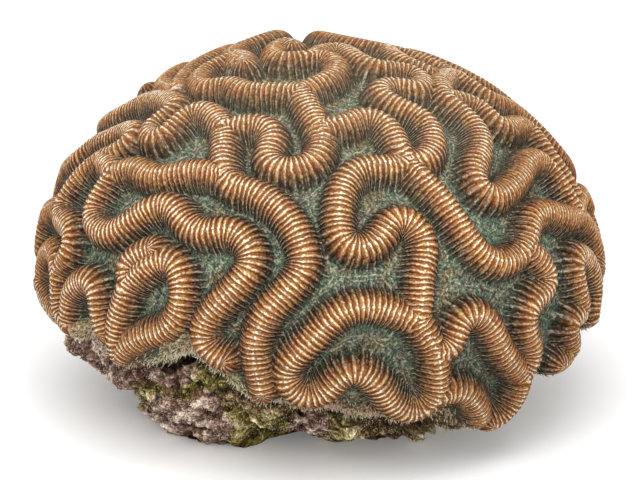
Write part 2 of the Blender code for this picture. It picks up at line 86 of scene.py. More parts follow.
# How the photograph sees the dome: pixels, and the real size of one at the dome's middle
PHOTO_WIDTH = 640
PHOTO_MIDDLE = (320.0, 240.0)
PHOTO_SCALE = 0.095 / 287.0
PHOTO_CENTRE = (320.0, 268.0)
PHOTO_ELEVATION = math.radians(18.0)
PHOTO_DISTANCE = 1.2
SENSOR_WIDTH = 36.0

# The flat plan that the unseen side is drawn on: equal-area, from behind and a little above, in photo pixels
PLAN_CENTRE = (450.0, 450.0)
PLAN_ELEVATION = math.radians(25.0)
PLAN_RADIUS = 287.0
PLAN_SWAY = 13.0
PLAN_SWAY_START = 300.0
PLAN_SWAY_RUN = 120.0
PLAN_WAVES = (24.0, 95.0, 31.0)

# The ridges' crest lines: their points' distance, how often they are smoothed, and the drawn strokes
ROUTE_STEP = 0.0005
ROUTE_SMOOTHING = 30
ROUTES = {
    "left crown hook": (
        ("plan", ((572, 690), (570, 655), (568, 610), (566, 565), (568, 530), (582, 508), (600, 490),
                  (620, 470), (640, 448), (655, 425), (668, 400), (682, 376), (692, 350), (700, 322),
                  (702, 292), (696, 264), (684, 240), (668, 216), (655, 189))),
        ("photo", ((150, 88), (164, 91), (171, 98), (166, 104), (157, 110), (149, 116), (143, 123),
                   (144, 129), (152, 132), (162, 126), (173, 116), (184, 107), (196, 103), (207, 106),
                   (215, 113), (222, 122))),
    ),
    "left upper finger": (
        ("plan", ((677, 685), (675, 645), (674, 605), (678, 572), (686, 549), (700, 529), (716, 509),
                  (734, 489), (750, 467), (764, 443), (776, 418), (782, 392), (778, 365), (770, 340),
                  (768, 312), (765, 285), (756, 262), (740, 243))),
        ("photo", ((100, 127), (112, 122), (122, 120), (128, 126), (123, 134), (113, 142), (104, 147),
                   (95, 151))),
    ),
    "left shoulder": (
        ("photo", ((95, 151), (84, 159), (73, 170), (64, 183), (57, 195), (53, 206), (53, 216),
                   (59, 221), (63, 230), (63, 242), (59, 254), (53, 265), (50, 278), (50, 292),
                   (51, 306), (55, 319), (62, 330))),
    ),
    "shoulder link": (
        ("photo", ((95, 151), (101, 159), (107, 168))),
    ),
    "left outer low": (
        ("photo", ((50, 279), (49, 267), (48, 256), (44, 248), (38, 253), (35, 265), (34, 279),
                   (36, 293), (41, 306), (50, 317))),
    ),
    "left main": (
        ("photo", ((222, 171), (211, 168), (200, 166), (188, 166), (175, 168), (162, 171), (150, 171),
                   (140, 168), (132, 163), (122, 163), (113, 166), (107, 168))),
    ),
    "brow": (
        ("photo", ((107, 168), (101, 177), (95, 187), (89, 197), (85, 208), (85, 218), (91, 227),
                   (100, 230), (110, 228), (120, 222), (130, 214), (140, 207), (150, 203), (160, 201),
                   (169, 204), (175, 212), (182, 221), (191, 227), (202, 229), (213, 228), (224, 227),
                   (234, 230), (243, 238), (249, 248), (250, 259), (247, 269), (241, 277), (234, 285),
                   (226, 294), (217, 303), (209, 312), (202, 322), (198, 333), (199, 344), (205, 353),
                   (213, 359), (221, 363))),
    ),
    "great diagonal": (
        ("photo", ((222, 171), (230, 180), (241, 184), (252, 187), (263, 193), (273, 200), (282, 208),
                   (289, 217), (295, 227), (300, 238), (304, 250), (305, 261), (302, 271), (296, 280),
                   (287, 290), (277, 300), (268, 310), (261, 321), (256, 333), (253, 346), (253, 359),
                   (255, 372), (259, 384), (261, 396))),
    ),
    "left upright": (
        ("photo", ((222, 122), (221, 135), (220, 148), (220, 160), (222, 171))),
    ),
    "crown loop": (
        ("photo", ((222, 122), (235, 119), (250, 117), (263, 119), (271, 128), (270, 138), (266, 147),
                   (268, 156), (276, 162), (287, 164), (299, 162), (310, 158), (318, 150), (322, 139),
                   (322, 129), (320, 121))),
    ),
    "crown drop": (
        ("photo", ((300, 85), (305, 94), (310, 104), (315, 113), (320, 121))),
    ),
    "crown arm": (
        ("photo", ((320, 121), (332, 120), (346, 117), (360, 111), (372, 110), (384, 115), (393, 124),
                   (399, 135), (403, 146), (410, 157))),
    ),
    "crown left": (
        ("photo", ((300, 85), (285, 84), (268, 84), (251, 84), (240, 82), (229, 77), (216, 78),
                   (203, 80), (195, 76), (195, 69), (202, 63), (212, 58), (224, 53), (235, 49),
                   (242, 52), (243, 58))),
    ),
    "crown curl": (
        ("photo", ((300, 85), (309, 80), (320, 76), (331, 70), (338, 62), (335, 54), (325, 50),
                   (312, 50), (299, 51), (287, 52), (277, 51), (272, 47), (276, 41), (285, 38),
                   (293, 40))),
    ),
    "crown ribbon": (
        ("photo", ((313, 49), (322, 44), (333, 42), (344, 43), (354, 49), (365, 55), (378, 60),
                   (392, 61), (406, 63), (418, 67), (426, 74), (421, 82), (408, 80), (395, 78),
                   (384, 80), (382, 87), (391, 94), (403, 100), (415, 105), (426, 112), (434, 122),
                   (437, 134), (435, 146), (427, 154), (418, 157), (410, 157))),
    ),
    "crown back low": (
        ("photo", ((388, 43), (398, 50), (410, 57), (422, 62), (433, 66))),
    ),
    "crown top": (
        ("plan", ((541, 140), (549, 162), (545, 187), (530, 205), (508, 212), (492, 225), (488, 250),
                  (490, 278), (492, 305), (485, 335), (462, 352), (435, 352), (408, 350), (380, 352),
                  (352, 345), (330, 328), (312, 308), (298, 294), (282, 296), (270, 312), (260, 332),
                  (244, 350), (236, 372), (242, 400), (248, 435), (250, 475), (250, 520), (252, 565),
                  (254, 610), (255, 660), (256, 690))),
    ),
    "crown back": (
        ("plan", ((286, 186), (298, 190), (312, 190), (330, 191), (350, 192), (372, 187), (395, 188),
                  (418, 197), (438, 212), (446, 238), (444, 264), (432, 288), (410, 300), (385, 300),
                  (362, 288), (350, 265), (338, 246), (320, 239), (298, 240), (275, 248), (255, 262),
                  (240, 280), (222, 298), (200, 308), (186, 325), (184, 350), (192, 375), (205, 396))),
    ),
    "crown rim": (
        ("plan", ((626, 150), (614, 172), (600, 190), (582, 203), (566, 213), (552, 226), (542, 248),
                  (539, 275), (540, 302), (537, 332), (526, 357), (508, 381), (486, 397), (460, 403),
                  (430, 402), (400, 404), (375, 405), (350, 400), (325, 400), (306, 414), (300, 445),
                  (302, 490), (300, 540), (300, 590), (302, 640), (302, 690))),
    ),
    "crown knob": (
        ("plan", ((628, 153), (633, 177), (636, 200), (630, 225), (612, 245), (598, 268), (592, 295),
                  (590, 320), (582, 348), (572, 374), (558, 400), (538, 420), (514, 436), (490, 447),
                  (470, 462), (464, 490), (468, 525), (470, 575), (465, 630), (462, 685))),
    ),
    "heart": (
        ("photo", ((410, 157), (396, 161), (381, 161), (366, 162), (355, 167), (347, 176), (342, 188),
                   (340, 201), (339, 214), (340, 227), (342, 237), (349, 244), (358, 247), (367, 246),
                   (376, 241), (384, 233), (390, 224), (397, 216), (406, 215), (415, 219), (423, 228),
                   (428, 240), (428, 253), (426, 266), (424, 279), (424, 292), (423, 306), (421, 321))),
    ),
    "right diagonal": (
        ("photo", ((410, 157), (419, 167), (429, 178), (439, 188), (448, 199), (456, 210), (464, 222),
                   (472, 234), (480, 245), (489, 254), (500, 260), (511, 261), (521, 257), (529, 250),
                   (534, 241), (537, 229), (539, 217), (546, 209), (556, 208), (566, 211), (576, 214),
                   (585, 212))),
    ),
    "right tall": (
        ("photo", ((461, 70), (450, 69), (444, 76), (446, 86), (454, 96), (464, 104), (473, 112),
                   (481, 121), (486, 132), (486, 145), (482, 157), (480, 169), (483, 180), (491, 189),
                   (502, 192), (512, 187), (521, 179), (528, 169), (533, 159), (540, 153), (549, 156),
                   (557, 164), (564, 174), (571, 185), (577, 196), (582, 206), (585, 212))),
    ),
    "right inner finger": (
        ("photo", ((451, 90), (461, 92), (472, 95), (483, 100), (492, 108), (501, 116), (511, 121),
                   (522, 119), (532, 121), (540, 129), (547, 138), (554, 148), (562, 159), (570, 170),
                   (577, 182), (583, 194))),
    ),
    "right outer top": (
        ("plan", ((286, 186), (268, 188), (250, 190), (234, 196), (222, 212), (212, 232), (198, 250),
                  (178, 266), (155, 284), (138, 308), (134, 340), (142, 370))),
    ),
    "right knuckle": (
        ("plan", ((72, 272), (86, 300), (92, 330), (90, 362))),
    ),
    "right rim": (
        ("photo", ((585, 212), (593, 220), (599, 231), (603, 243), (606, 256), (606, 268))),
    ),
    "right finger": (
        ("plan", ((-10, 640), (-12, 600), (-16, 550), (-14, 510))),
        ("photo", ((599, 325), (601, 311), (603, 297), (603, 282), (600, 268), (594, 257), (586, 254),
                   (583, 263), (585, 276), (587, 290), (590, 303), (590, 314), (582, 319), (578, 328),
                   (579, 340), (580, 352), (575, 362), (565, 368))),
    ),
    "right descent": (
        ("photo", ((534, 243), (541, 253), (549, 261), (555, 272), (556, 283), (551, 292), (543, 299),
                   (537, 308), (534, 320), (535, 332), (538, 344), (540, 356), (537, 367), (529, 379))),
    ),
    "right bracket": (
        ("photo", ((439, 356), (449, 354), (457, 347), (461, 336), (465, 325), (472, 317), (481, 315),
                   (490, 319), (497, 329), (503, 341), (508, 352), (514, 362), (521, 371), (529, 379))),
    ),
    "right hem": (
        ("photo", ((529, 379), (527, 391), (522, 403), (515, 414), (506, 423), (496, 428))),
    ),
    "hem lobe": (
        ("photo", ((441, 403), (451, 398), (461, 396), (470, 398), (478, 405), (484, 414), (485, 424))),
    ),
    "stem": (
        ("photo", ((421, 321), (427, 332), (434, 344), (439, 356), (441, 370), (442, 384), (441, 397),
                   (434, 408), (424, 415), (412, 418), (401, 414), (392, 406), (385, 396), (377, 386),
                   (367, 379), (355, 375), (344, 379), (336, 386), (328, 394), (318, 400), (306, 402),
                   (294, 397), (286, 388), (284, 377), (288, 366), (296, 357), (305, 348), (314, 339),
                   (323, 329), (333, 320), (344, 312), (356, 308), (369, 307), (382, 308), (394, 311),
                   (405, 316), (421, 321))),
    ),
    "left low finger": (
        ("photo", ((60, 328), (60, 314), (61, 300), (65, 289), (73, 282), (81, 280), (87, 287),
                   (90, 298), (91, 310), (93, 322), (97, 334))),
    ),
    "ring top": (
        ("photo", ((124, 281), (119, 274), (121, 265), (127, 257), (136, 251), (147, 248))),
    ),
    "ring": (
        ("photo", ((113, 360), (109, 347), (109, 333), (111, 319), (115, 305), (119, 292), (124, 281),
                   (131, 275), (140, 267), (150, 260), (161, 258), (170, 262), (175, 272), (177, 284),
                   (177, 296), (175, 309), (170, 321), (162, 330), (151, 335), (139, 338), (128, 343),
                   (119, 350), (113, 360))),
    ),
    "back left arch": (
        ("plan", ((42, 640), (38, 590), (36, 540), (40, 490), (55, 450), (80, 425), (110, 415),
                  (150, 420), (185, 440), (200, 475), (202, 520), (198, 570), (196, 620), (200, 680))),
    ),
    "back left inner": (
        ("plan", ((95, 655), (92, 600), (88, 550), (95, 505), (118, 480), (142, 490), (150, 525),
                  (148, 570), (145, 620), (148, 670))),
    ),
    "back middle arch": (
        ("plan", ((354, 690), (354, 640), (352, 590), (350, 540), (352, 495), (362, 462), (385, 450),
                  (408, 460), (418, 490), (416, 530), (412, 575), (410, 620), (408, 665), (408, 690))),
    ),
    "back long finger": (
        ("plan", ((516, 690), (518, 640), (520, 590), (518, 545), (525, 508), (548, 482), (572, 462),
                  (592, 440), (607, 412), (618, 385), (628, 358), (638, 330), (644, 305), (645, 282))),
    ),
    "back short finger": (
        ("plan", ((724, 388), (722, 412), (710, 436), (697, 458), (682, 478), (666, 497), (650, 514),
                  (634, 530), (622, 552), (620, 590), (622, 635), (625, 685))),
    ),
    "shoulder descent": (
        ("plan", ((822, 282), (826, 308), (826, 335), (830, 362), (835, 390), (832, 418), (822, 444),
                  (808, 470), (792, 494), (776, 516), (758, 536), (742, 556), (731, 580), (728, 615),
                  (728, 650), (730, 680))),
    ),
    "flank inner": (
        ("plan", ((868, 440), (874, 466), (866, 492), (852, 515), (834, 536), (816, 554), (798, 572),
                  (786, 594), (782, 622), (782, 650), (784, 672))),
    ),
    "flank middle": (
        ("plan", ((915, 455), (920, 485), (908, 512), (890, 538), (870, 560), (852, 582), (840, 606),
                  (836, 635), (838, 655))),
    ),
    "flank outer": (
        ("plan", ((965, 420), (972, 450), (970, 480), (960, 510), (945, 538), (925, 562), (905, 585),
                  (893, 610), (890, 640))),
    ),
}

# The colony's lower edge, in photo pixels where it is seen
EDGE_SEEN = (
    (36, 298), (43, 309), (51, 320), (62, 333), (78, 330), (86, 340), (92, 350), (98, 354), (106, 352),
    (112, 364), (122, 369), (136, 364), (150, 357), (165, 354), (180, 348), (196, 350), (204, 362),
    (214, 374), (222, 388), (232, 398), (242, 405), (254, 411), (266, 408), (278, 402), (288, 408),
    (300, 414), (314, 413), (326, 408), (336, 416), (352, 424), (366, 426), (376, 421), (388, 420),
    (400, 424), (416, 424), (430, 419), (441, 412), (452, 414), (462, 424), (472, 433), (482, 434),
    (492, 431), (502, 430), (512, 426), (520, 416), (526, 404), (531, 395), (545, 390), (552, 381),
    (557, 373), (566, 370), (576, 362), (580, 350), (583, 341), (592, 333), (597, 323),
)
# The lower edge elsewhere: azimuth, and height below the dome's middle
EDGE_UNSEEN = (
    (96.0, 0.0150), (108.0, 0.0185), (122.0, 0.0215), (138.0, 0.0235), (154.0, 0.0225), (168.0, 0.0240),
    (183.0, 0.0225), (198.0, 0.0240), (214.0, 0.0225), (230.0, 0.0210), (246.0, 0.0185), (260.0, 0.0145),
)

# The rock by azimuth: radius of its shelf, drop of the shelf's edge, radii of its belly and its foot
ROCK_OUTLINE = (
    (-180.0, 0.0720, 0.0060, 0.0610, 0.0480), (-135.0, 0.0740, 0.0070, 0.0620, 0.0520),
    (-105.0, 0.0800, 0.0120, 0.0635, 0.0530), (-86.0, 0.0845, 0.0150, 0.0620, 0.0555),
    (-72.0, 0.0790, 0.0150, 0.0620, 0.0585), (-58.0, 0.0765, 0.0140, 0.0625, 0.0580),
    (-42.0, 0.0770, 0.0120, 0.0640, 0.0560), (-30.0, 0.0740, 0.0120, 0.0620, 0.0530),
    (-21.0, 0.0720, 0.0080, 0.0530, 0.0370), (-12.0, 0.0690, 0.0060, 0.0470, 0.0310),
    (-3.0, 0.0690, 0.0050, 0.0490, 0.0360), (9.0, 0.0690, 0.0050, 0.0520, 0.0420),
    (18.0, 0.0670, 0.0045, 0.0510, 0.0385), (28.0, 0.0610, 0.0040, 0.0510, 0.0430),
    (42.0, 0.0545, 0.0030, 0.0450, 0.0365), (70.0, 0.0600, 0.0030, 0.0480, 0.0390),
    (95.0, 0.0700, 0.0050, 0.0590, 0.0450), (135.0, 0.0710, 0.0060, 0.0600, 0.0475),
)

CENTRE = np.array([0.0, 0.0, DOME_CENTRE_HEIGHT])
DOME = np.array([[DOME_HALF_WIDTH, 0.0, -DOME_LEAN],
                 [0.0, DOME_HALF_DEPTH, 0.0],
                 [0.0, 0.0, DOME_RISE]])
DOME_INVERSE = np.linalg.inv(DOME)
PHOTO_FORWARD = np.array([0.0, math.cos(PHOTO_ELEVATION), -math.sin(PHOTO_ELEVATION)])
PHOTO_UP = np.array([0.0, math.sin(PHOTO_ELEVATION), math.cos(PHOTO_ELEVATION)])
Array = np.ndarray
Socket = bpy.types.NodeSocket


def unit(vectors: Array) -> Array:
    """Return the vectors with a length of one."""
    return vectors / np.linalg.norm(vectors, axis=-1, keepdims=True)


def eased(value: Array, low: float, high: float) -> Array:
    """Return a smooth step of the value from 0 at low to 1 at high."""
    share = np.clip((value - low) / (high - low), 0.0, 1.0)
    return share * share * (3.0 - 2.0 * share)


def grain(points: Array, size: float) -> Array:
    """Return soft noise from about -1 to 1 at each point.

    Args:
        points: places in metres, one row each.
        size: width of one lump of the noise in metres.

    Returns:
        One value for each point.
    """
    places = (points / size).reshape(-1, 3).tolist()
    values = np.fromiter(map(noise.noise, places), float, len(places))
    return values.reshape(points.shape[:-1])


def around(table: Sequence[Sequence[float]], azimuth: Array, column: int = 1) -> Array:
    """Return a table's values at azimuths, eased between its rows and joined end to end.

    Args:
        table: rows that start with an azimuth in degrees, in rising order.
        azimuth: the azimuths to read, in degrees.
        column: which value of a row is read.

    Returns:
        The eased values, in the shape of azimuth.
    """
    rows = np.array([(row[0], row[column]) for row in table])
    rows = np.vstack([rows, rows[:1] + (360.0, 0.0)])
    turn = (np.asarray(azimuth) - rows[0, 0]) % 360.0 + rows[0, 0]
    low = np.clip(np.searchsorted(rows[:, 0], turn, side="right") - 1, 0, len(rows) - 2)
    share = (turn - rows[low, 0]) / (rows[low + 1, 0] - rows[low, 0])
    ease = eased(share, 0.0, 1.0)
    return rows[low, 1] * (1.0 - ease) + rows[low + 1, 1] * ease


def azimuth_of(points: Array) -> Array:
    """Return azimuths in degrees, 0 at the seen side (-Y) and positive towards +X."""
    return np.degrees(np.arctan2(points[..., 0], -points[..., 1]))


def toward(azimuth: Array, latitude: Array | float = 0.0) -> Array:
    """Return unit vectors towards azimuths in degrees and latitudes in radians."""
    turn, rise = np.broadcast_arrays(np.radians(azimuth), latitude)
    return np.stack([np.sin(turn) * np.cos(rise), -np.cos(turn) * np.cos(rise), np.sin(rise)], axis=-1)


def photo_pixel(points: Array) -> tuple[Array, Array]:
    """Return the photograph's pixel columns and rows of points about the dome's middle."""
    scale = PHOTO_DISTANCE / (PHOTO_DISTANCE + points @ PHOTO_FORWARD) / PHOTO_SCALE
    return PHOTO_CENTRE[0] + points[:, 0] * scale, PHOTO_CENTRE[1] - points @ PHOTO_UP * scale


class Sheet(Enum):
    """The picture that a stroke of a ridge is drawn on."""

    PHOTO = "photo"
    PLAN = "plan"

    def direction(self, x: float, y: float) -> Array:
        """Return where a drawn point lies on the dome, as a point of the unit sphere."""
        return self._seen(x, y) if self is Sheet.PHOTO else self._planned(x, y)

    @staticmethod
    def _seen(x: float, y: float) -> Array:
        """Return where the photograph's pixel meets the crest ellipsoid."""
        right = np.array([1.0, 0.0, 0.0])
        ray = PHOTO_FORWARD * PHOTO_DISTANCE / PHOTO_SCALE
        ray = DOME_INVERSE @ (ray + right * (x - PHOTO_CENTRE[0]) + PHOTO_UP * (PHOTO_CENTRE[1] - y))
        start = DOME_INVERSE @ (-PHOTO_FORWARD * PHOTO_DISTANCE)
        a, b, c = ray @ ray, start @ ray, start @ start - 1.0
        root = b * b - a * c
        reach = (-b - math.sqrt(root)) / a if root > 0.0 else -b / a
        return unit(start + ray * reach)

    @staticmethod
    def _planned(x: float, y: float) -> Array:
        """Return where a point of the plan lies; below the crown the drawn lines sway together."""
        ramp = min(max((y - PLAN_SWAY_START) / PLAN_SWAY_RUN, 0.0), 1.0)
        sway_x = PLAN_SWAY * ramp * math.sin(y / PLAN_WAVES[0] + x / PLAN_WAVES[1])
        sway_y = PLAN_SWAY * ramp * 0.5 * math.sin(x / PLAN_WAVES[2])
        across = (x + sway_x - PLAN_CENTRE[0]) / PLAN_RADIUS
        upward = (PLAN_CENTRE[1] - y - sway_y) / PLAN_RADIUS
        reach = across * across + upward * upward
        cos_e, sin_e = math.cos(PLAN_ELEVATION), math.sin(PLAN_ELEVATION)
        middle = np.array([0.0, cos_e, sin_e])
        right = np.array([-1.0, 0.0, 0.0])
        up = np.array([0.0, -sin_e, cos_e])
        side = math.sqrt(max(0.0, 1.0 - reach / 4.0))
        return middle * (1.0 - reach / 2.0) + (right * across + up * upward) * side


@dataclass
class RibReading:
    """What the ridges say at a set of places on the crest ellipsoid.

    Attributes:
        distance: distance to the nearest crest line in metres.
        rib: count of ribs along that crest line, a whole number on each rib.
        slope: how the rib count grows with a move, in ribs per metre along each axis.
        midline: distance to the valley's middle, where the next ridge across is as near.
    """

    distance: Array
    rib: Array
    slope: Array
    midline: Array

    def pick(self, chosen: Array) -> "RibReading":
        """Return the reading of some of the places."""
        return RibReading(*(getattr(self, part.name)[chosen] for part in fields(self)))


@dataclass
class RidgeNet:
    """All the ridges' crest lines, with the ribs counted along them.

    Attributes:
        rib_spacing: distance from one rib to the next along the crest.
        cap_ribs: ribs on each side of a free end, fanned about it.
        join_reach: an end nearer than this to another line is joined to it.
        line_ribs: the rib count starts this much higher on each next line.
        across_turn: a part of a line counts as across the valley from another when the way along the line
            is longer than this many times their distance.
    """

    rib_spacing: float = 0.00172
    cap_ribs: float = 3.5
    join_reach: float = 0.0030
    line_ribs: float = 200.0
    across_turn: float = 2.2
    points: Array = field(init=False)
    tangent: Array = field(init=False)
    rib: Array = field(init=False)
    outward: Array = field(init=False)
    line: Array = field(init=False)
    tree: KDTree = field(init=False)
    coarse: KDTree = field(init=False)
    joins: list[Array] = field(init=False)

    # The search across a valley: every so many crest points, how many are looked at, and where it starts
    COARSE_STEP = 3
    COARSE_FOUND = 26
    MIDLINE_START = 0.0036
    FAR = 0.02
    JOIN_FADE = (0.3, 1.3)

    def __post_init__(self) -> None:
        """Lay out the lines, count their ribs, and find their free ends."""
        lines = [self._smooth(strokes) for strokes in ROUTES.values()]
        self.points = np.vstack(lines)
        self.line = np.concatenate([np.full(len(line), k) for k, line in enumerate(lines)])
        self.tangent = np.vstack([unit(np.gradient(line, axis=0)) for line in lines])
        self.tree = self._search_tree(1)
        self.coarse = self._search_tree(self.COARSE_STEP)
        self.outward = np.zeros(len(self.points))
        self.joins = []
        ribs = []
        start = 0
        for k, line in enumerate(lines):
            steps = np.linalg.norm(np.diff(line, axis=0), axis=1)
            ribs.append(self.line_ribs * k + np.concatenate([[0.0], np.cumsum(steps)]) / self.rib_spacing)
            others = self.points[self.line != k]
            for end, sign in ((start, -1.0), (start + len(line) - 1, 1.0)):
                if np.linalg.norm(others - self.points[end], axis=1).min() > self.join_reach:
                    self.outward[end] = sign
                else:
                    self.joins.append(self.points[end])
            start += len(line)
        self.rib = np.concatenate(ribs)

    def _search_tree(self, step: int) -> KDTree:
        """Return a search tree of every so many crest points."""
        tree = KDTree(len(self.points) // step + 1)
        for index in range(0, len(self.points), step):
            tree.insert(self.points[index], index)
        tree.balance()
        return tree

    @staticmethod
    def _smooth(strokes: Sequence[tuple[str, Sequence[tuple[float, float]]]]) -> Array:
        """Return closely spaced points along one ridge, on the crest ellipsoid about the dome's middle."""
        stops = np.array([Sheet(kind).direction(x, y) for kind, spots in strokes for x, y in spots]) @ DOME.T
        padded = np.vstack([stops[:1], stops, stops[-1:]])
        line = []
        for before, start, end, after in zip(padded[:-3], padded[1:-2], padded[2:-1], padded[3:]):
            count = max(2, int(np.linalg.norm(end - start) / ROUTE_STEP))
            t = (np.arange(count) / count)[:, None]
            line.append(0.5 * (2.0 * start + (end - before) * t
                               + (2.0 * before - 5.0 * start + 4.0 * end - after) * t * t
                               + (3.0 * start - before - 3.0 * end + after) * t ** 3))
        line = np.vstack(line + [stops[-1:]])
        for _ in range(ROUTE_SMOOTHING):
            line[1:-1] = 0.25 * line[:-2] + 0.5 * line[1:-1] + 0.25 * line[2:]
        return line / np.linalg.norm(line @ DOME_INVERSE.T, axis=1)[:, None]

    def read(self, crest: Array) -> RibReading:
        """Measure places on the crest ellipsoid against the nearest ridge.

        Args:
            crest: the places, relative to the dome's middle, one row each.

        Returns:
            The distances and the rib counts there.
        """
        find = self.tree.find
        near = np.fromiter((find(place)[1] for place in crest.tolist()), np.int64, len(crest))
        best = np.linalg.norm(crest - self.points[near], axis=1)
        rib = self.rib[near].copy()
        for step in (-1, 1):
            beside = np.clip(near + step, 0, len(self.points) - 1)
            joined = (self.line[beside] == self.line[near]) & (beside != near)
            run = self.points[beside] - self.points[near]
            length = np.maximum(np.einsum("ij,ij->i", run, run), 1e-12)
            share = np.clip(np.einsum("ij,ij->i", crest - self.points[near], run) / length, 0.0, 1.0)
            reach = np.linalg.norm(crest - self.points[near] - run * share[:, None], axis=1)
            closer = joined & (reach < best)
            best = np.where(closer, reach, best)
            rib = np.where(closer, self.rib[near] + share * (self.rib[beside] - self.rib[near]), rib)
        slope = self.tangent[near] / self.rib_spacing
        self._fan(crest, near, rib, slope)
        return RibReading(best, rib, slope, self._midline(crest, best, self.rib[near]))

    def near_join(self, crest: Array) -> Array:
        """Return 1 where one ridge runs into another, falling to 0 about a ridge's half width away."""
        close = np.zeros(len(crest))
        for spot in self.joins:
            away = np.linalg.norm(crest - spot, axis=1) / RIDGE_HALF_WIDTH
            close = np.maximum(close, 1.0 - eased(away, *self.JOIN_FADE))
        return close

    def _midline(self, crest: Array, distance: Array, rib: Array) -> Array:
        """Return each place's distance to the middle of its valley, or FAR on the ridges."""
        middle = np.full(len(crest), self.FAR)
        reach = self.across_turn * distance / self.rib_spacing
        count = self.rib.tolist()
        for k in np.nonzero(distance > self.MIDLINE_START)[0].tolist():
            own, limit = rib[k], reach[k]
            for _, index, away in self.coarse.find_n(crest[k], self.COARSE_FOUND):
                if abs(count[index] - own) > limit:
                    middle[k] = max(away - distance[k], 0.0) / 2.0
                    break
        return middle

    def _fan(self, crest: Array, near: Array, rib: Array, slope: Array) -> None:
        """Fan the ribs about the free ends, in place."""
        sign = self.outward[near]
        ahead = self.tangent[near] * sign[:, None]
        offset = crest - self.points[near]
        along = np.einsum("ij,ij->i", offset, ahead)
        beyond = np.nonzero((sign != 0.0) & (along > 0.0))[0]
        if not len(beyond):
            return
        sign, ahead, offset, along = sign[beyond], ahead[beyond], offset[beyond], along[beyond]
        sideways = offset - ahead * along[:, None]
        across = np.maximum(np.linalg.norm(sideways, axis=1), 1e-6)
        turn = np.arctan2(across, along) / (0.5 * math.pi)
        end = self.rib[near[beyond]]
        tip = np.round(2.0 * (end + sign * self.cap_ribs)) / 2.0
        rib[beyond] = end + (tip - end) * (1.0 - turn)
        whirl = sideways / across[:, None] * along[:, None] - ahead * across[:, None]
        whirl /= np.maximum(along * along + across * across, 1e-9)[:, None]
        slope[beyond] = -(tip - end)[:, None] * whirl / (0.5 * math.pi)


